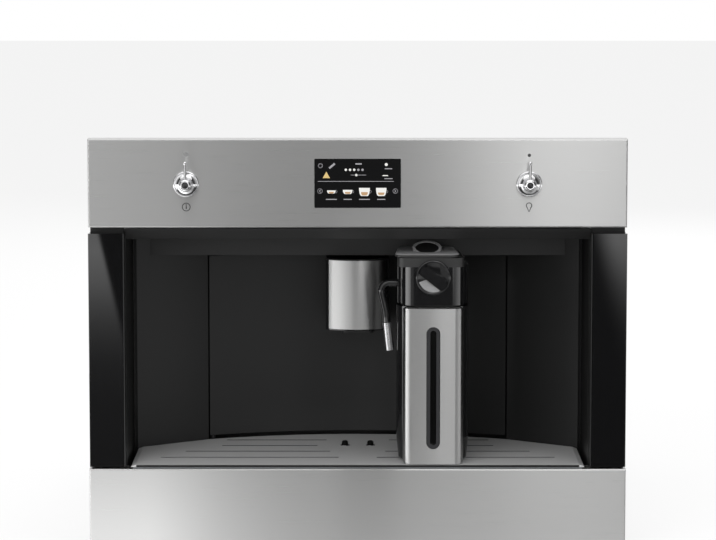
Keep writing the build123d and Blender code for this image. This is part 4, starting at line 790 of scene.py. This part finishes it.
# %% Signs and bars
for x, z, width, height in ((-2.0, 2.2, 84.0, 0.55), (1.0, 21.5, 7.0, 1.5), (1.0, 9.2, 17.0, 0.5),
                            (34.0, 16.2, 8.0, 1.0), (34.0, 5.2, 9.0, 0.9)):
    grey_shapes.append(bar(x, z, width, height))
white_shapes.append(bar(30.5, 8.6, 6.0, 1.1))
for i in range(5):
    (white_shapes if i < 3 else grey_shapes).append(disc(-13.0 + i * 4.6, 15.0, 1.35, 14))
white_shapes += [disc(-1.5, 9.2, 1.4, 14), disc(31.5, 20.8, 1.7, 16)]
grey_shapes += stroke(arc(-41.0, 19.5, 2.2, 20, 340, 16), 0.9)
grey_shapes += stroke([(-30.5, 17.4), (-26.0, 21.2)], 2.2)
triangle = [(-38.5, 5.8), (-30.5, 5.8), (-34.5, 13.0)]
for name, shapes, lift, paint in (("screen_signs_white", white_shapes, 0.03, screen_white),
                                  ("screen_signs_grey", grey_shapes, 0.03, screen_grey),
                                  ("screen_sign_gold", [triangle], 0.03, screen_gold),
                                  ("screen_coffee", coffee_shapes, 0.06, screen_coffee)):
    add_print(name, shapes, screen_centre, screen_y, lift, paint, "machine")

# %% [markdown]
# ## Round inserts by lathe
# Each knob's hub ends in a dark domed insert inside a polished ring. A lathe profile is the natural
# way: a few points from the axis outwards, turned about the knob's own axis, with a closed pole at
# the middle.

# %% Lathe helper and hub inserts
def lathe(form, axis, centre, start, profile, count):
    """Adds a shape turned from (radius, along) points about a Y or Z axis. centre is the axis's
    place across, and start is where along is 0, all in millimetres."""
    rings = []
    for radius, along in profile:
        ring = []
        for i in range(count if radius > 0 else 1):
            turn = 2 * math.pi * i / count
            a, b = centre[0] + radius * math.cos(turn), centre[1] + radius * math.sin(turn)
            point = (a, start + along, b) if axis == "Y" else (a, b, start + along)
            ring.append(form.verts.new([v / 1000 for v in point]))
        rings.append(ring)
    for a, b in zip(rings, rings[1:]):
        for i in range(count):
            j = (i + 1) % count
            corners = [a[i % len(a)], b[i % len(b)], b[j % len(b)], a[j % len(a)]]
            form.faces.new(list(dict.fromkeys(corners)))


def close_seams(form):
    """Joins points that lie on one another and turns all faces outwards."""
    bmesh.ops.remove_doubles(form, verts=form.verts, dist=1e-7)
    bmesh.ops.recalc_face_normals(form, faces=form.faces)


dish_radius = 14.25
knob_z = knob_low.z * 1000 + dish_radius
hub_face = knob_low.y * 1000
hub_dark = surface("hub_dark", (0.05, 0.05, 0.052), metal=0.6, rough=(0.2, 0.3), grain=900,
                   tint=0.1)
insert_profile = [(0, 0.3), (2.2, 0.45), (3.4, 0.9), (3.9, 1.5), (0, 1.6)]
for x, body in ((left_x, "left_knob"), (right_x, "right_knob")):
    insert = bmesh.new()
    lathe(insert, "Y", (x, knob_z), hub_face, insert_profile, 48)
    close_seams(insert)
    add_piece(body + "_insert", insert, hub_dark, body)

# %% [markdown]
# ## Floats in the tray
# Two black rubber floats stand in the round holes of the drip grid and rise when the basin is full.
# Their shape is a small stud with a soft edge, again turned from a profile, this time about an
# upright axis. A bright ring lies in each countersink.

# %% Floats and rings
float_x, float_y = 14.7, 98.0
deck = grid_high.z * 1000
rubber = surface("float_rubber", 0.003, rough=(0.5, 0.6), grain=1500, bump=0.1, tint=0.1,
                 Specular_IOR_Level=0.1)
float_profile = [(0, -1.9), (3.7, -1.9), (3.8, 0.6), (3.6, 3.6), (3.1, 4.8), (2.0, 5.4), (0, 5.6)]
ring_profile = [(4.15, -1.2), (5.3, -0.15), (5.5, 0.15), (5.2, 0.25), (4.3, -0.4), (4.15, -1.2)]
for name, profile, paint, slot in (("tray_floats", float_profile, rubber, "satin_black"),
                                   ("float_rings", ring_profile, chrome, "chrome")):
    form = bmesh.new()
    for x in (-float_x, float_x):
        lathe(form, "Z", (x, float_y), deck, profile, 32)
    close_seams(form)
    add_piece(name, form, paint, "drip_drawer")

# %% [markdown]
# ## The dial's grey field
# The froth dial is a shallow black bowl with a grip across it. The half below the grip carries a
# pale grey field. It follows the bowl, so it is a small grid in polar steps, laid a hair over the
# bowl's own curve, and its inner edge stops short of the grip. The curve is measured from the back
# of the dial, which is the dial's depth behind the front of its grip.

# %% The bowl and the field's outline
dial_low, dial_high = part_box("froth_dial")
dial_x = (dial_low.x + dial_high.x) / 2 * 1000
dial_z = (dial_low.z + dial_high.z) / 2 * 1000
dial_depth = 9.0
dial_back = dial_low.y * 1000 + dial_depth
grip_angle = math.radians(-38)
grip_clearance = 6.9
field_outer, field_least = 16.6, 6.972
field_start, field_end = math.radians(198), math.radians(296)
field_columns, field_rows = 26, 5


def bowl_front(radius):
    """Where the bowl's front is along Y at a radius, in millimetres: nearly flat in the middle,
    then rising towards the user up to its edge."""
    knee, edge = 8.0, 16.9
    if radius < knee:
        return dial_back - 2.4 - 0.6 * (radius / knee) ** 2
    share = (radius - knee) / (edge - knee)
    return dial_back - 3.0 - 2.6 * (0.62 * share + 0.38 * share ** 2)


def field_sheet(form, lift):
    """The field's grid of points as rows of one angle each, lifted off the bowl."""
    sheet = []
    for i in range(field_columns + 1):
        turn = field_start + (field_end - field_start) * i / field_columns
        inner = max(grip_clearance / math.sin(grip_angle - turn), field_least)
        row = []
        for j in range(field_rows + 1):
            radius = inner + (field_outer - inner) * j / field_rows
            x, z = on_circle(dial_x, dial_z, radius, turn)
            row.append(form.verts.new((x / 1000, (bowl_front(radius) - lift) / 1000, z / 1000)))
        sheet.append(row)
    return sheet


print("dial centre", round(dial_x, 2), round(dial_z, 2), "dial back", round(dial_back, 2))

# %% [markdown]
# ## Closing the field
# Two such grids, one a little further out than the other, are joined round their edges into a thin
# closed shell.

# %% The field
field = bmesh.new()
front, back = field_sheet(field, 0.10), field_sheet(field, 0.02)
for i in range(field_columns):
    for j in range(field_rows):
        for sheet in (front, back):
            field.faces.new((sheet[i][j], sheet[i + 1][j], sheet[i + 1][j + 1], sheet[i][j + 1]))
    for j in (0, field_rows):
        field.faces.new((front[i][j], back[i][j], back[i + 1][j], front[i + 1][j]))
for i in (0, field_columns):
    for j in range(field_rows):
        field.faces.new((front[i][j], front[i][j + 1], back[i][j + 1], back[i][j]))
close_seams(field)
field_grey = surface("dial_grey", (0.26, 0.26, 0.262), grain=1400, bump=0.08, tint=0.15)
add_piece("dial_field", field, field_grey, "froth_dial")

# %% [markdown]
# ## Screws
# The chassis is screwed together from sheets, and the same pan-head screw comes many times. Geometry
# Nodes suit that: one small tree makes the head with its cross recess, which is dark paint for
# painted shade, and puts it on every point of a mesh, with the sizes as named inputs. The result is
# turned into a plain mesh, because the export keeps no instances.

# %% The screw tree
head_sides = 24
head_narrowing = 0.72
cross_length, cross_width, cross_depth = 1.05, 0.22, 0.0004


def screw_inputs_of(tree):
    """Gives the tree its inputs and output. Returns the identifiers of the inputs by name."""
    identifiers = {}
    for title, kind, value in (("Places", "Geometry", None), ("Head Radius", "Float", 0.0036),
                               ("Head Height", "Float", 0.0018), ("Turn", "Vector", (0, 0, 0)),
                               ("Head Finish", "Material", None),
                               ("Recess Shade", "Material", None)):
        socket = tree.interface.new_socket(name=title, in_out="INPUT",
                                           socket_type="NodeSocket" + kind)
        if value is not None:
            socket.default_value = value
        identifiers[title] = socket.identifier
    tree.interface.new_socket(name="Screws", in_out="OUTPUT", socket_type="NodeSocketGeometry")
    return identifiers


def painted(tree, shape, finish):
    """A shape with a material."""
    paint = new_node(tree, "GeometryNodeSetMaterial", Geometry=shape, Material=finish)
    return paint.outputs["Geometry"]


def joined(tree, *shapes):
    """Several shapes as one."""
    join = tree.nodes.new("GeometryNodeJoinGeometry")
    for shape in shapes:
        feed(tree, join.inputs["Geometry"], shape)
    return join.outputs["Geometry"]


def screw_tree():
    """Builds the node tree: points in, pan-head screws with a cross recess out, the recess painted
    dark as shade.
    """
    tree = bpy.data.node_groups.new("pan_head_screws", "GeometryNodeTree")
    identifiers = screw_inputs_of(tree)
    given = new_node(tree, "NodeGroupInput").outputs
    radius, height = given["Head Radius"], given["Head Height"]
    head = new_node(tree, "GeometryNodeMeshCone", Vertices=head_sides, Side_Segments=1,
                    Radius_Top=times(tree, radius, head_narrowing), Radius_Bottom=radius,
                    Depth=height)
    length, width = times(tree, radius, cross_length), times(tree, radius, cross_width)
    on_top = new_node(tree, "ShaderNodeCombineXYZ", Z=height).outputs[0]
    arms = []
    for x, y in ((length, width), (width, length)):
        size = new_node(tree, "ShaderNodeCombineXYZ", X=x, Y=y, Z=cross_depth).outputs[0]
        arm = new_node(tree, "GeometryNodeMeshCube", Size=size).outputs["Mesh"]
        moved = new_node(tree, "GeometryNodeTransform", Geometry=arm, Translation=on_top)
        arms.append(moved.outputs["Geometry"])
    screw = joined(tree, painted(tree, head.outputs["Mesh"], given["Head Finish"]),
                   painted(tree, joined(tree, *arms), given["Recess Shade"]))
    dots = new_node(tree, "GeometryNodeMeshToPoints", Mesh=given["Places"]).outputs["Points"]
    put = new_node(tree, "GeometryNodeInstanceOnPoints", Points=dots, Instance=screw,
                   Rotation=given["Turn"]).outputs["Instances"]
    real = new_node(tree, "GeometryNodeRealizeInstances", Geometry=put).outputs["Geometry"]
    new_node(tree, "NodeGroupOutput", Screws=real)
    return tree, identifiers


screws, screw_inputs = screw_tree()
print("screw tree inputs", list(screw_inputs))

# %% [markdown]
# ## Where the screws sit
# The screws follow the edges of the chassis sheets at an even inset. None may stand where the water
# tank is lifted out through the top.

# %% Screw helpers
def screws_at(name, places, turn, body):
    """Pan-head screws at points in metres, each turned from +Z by the angles given."""
    mesh = bpy.data.meshes.new(name + "_places")
    mesh.from_pydata(places, [], [])
    maker = add_object(name + "_places", mesh)
    modifier = maker.modifiers.new("screws", "NODES")
    modifier.node_group = screws
    modifier[screw_inputs["Turn"]] = turn
    modifier[screw_inputs["Head Finish"]] = zinc_sheet
    # The cross recess takes the dark enamel as painted shade.
    modifier[screw_inputs["Recess Shade"]] = enamel_and_recess_shade
    made = maker.evaluated_get(bpy.context.evaluated_depsgraph_get())
    plain = bpy.data.meshes.new_from_object(made)
    plain.name = name
    bpy.data.objects.remove(maker)
    piece = add_object(name, plain)
    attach(piece, body)
    print(name, len(places), "screws", len(piece.data.polygons), "faces")


tank_low, tank_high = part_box("water_tank")
tank_margin = 0.006


def clear_of_tank(place):
    """Whether a screw on the top leaves the lifted tank its way out."""
    x, y = place[:2]
    beside = x < tank_low.x - tank_margin or x > tank_high.x + tank_margin
    return beside or y < tank_low.y - tank_margin or y > tank_high.y + tank_margin


print("tank from", tuple(tank_low), "to", tuple(tank_high))

# %% [markdown]
# ## The four sheets
# Rear, left, right and top each get their own piece. The right side mirrors the left.

# %% Screws on the sheets
rear_low, rear_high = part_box("chassis_rear")
side_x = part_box("chassis_left")[0].x
top_low, top_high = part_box("chassis_top")
inset = 0.009
rear_edges = (rear_low.x + inset, rear_high.x - inset)
rear_points = [(x, rear_high.y, z) for x in (rear_edges[0], 0.0, rear_edges[1])
               for z in (rear_low.z + inset, rear_high.z - inset)]
rear_points += [(x, rear_high.y, 0.23) for x in rear_edges]
side_points = [(y, z) for y in (0.02, 0.15, 0.29, 0.42) for z in (0.065, 0.400)]
left_points = [(side_x, y, z) for y, z in side_points]
right_points = [(-side_x, y, z) for y, z in side_points]
top_points = [(x, y, top_high.z) for x in (top_low.x + inset, top_high.x - inset)
              for y in (0.02, 0.13, 0.43)]
quarter = math.pi / 2
screws_at("rear_screws", rear_points, (-quarter, 0, 0), "machine")
screws_at("left_screws", left_points, (0, -quarter, 0), "machine")
screws_at("right_screws", right_points, (0, quarter, 0), "machine")
screws_at("top_screws", [place for place in top_points if clear_of_tank(place)], (0, 0, 0),
          "machine")
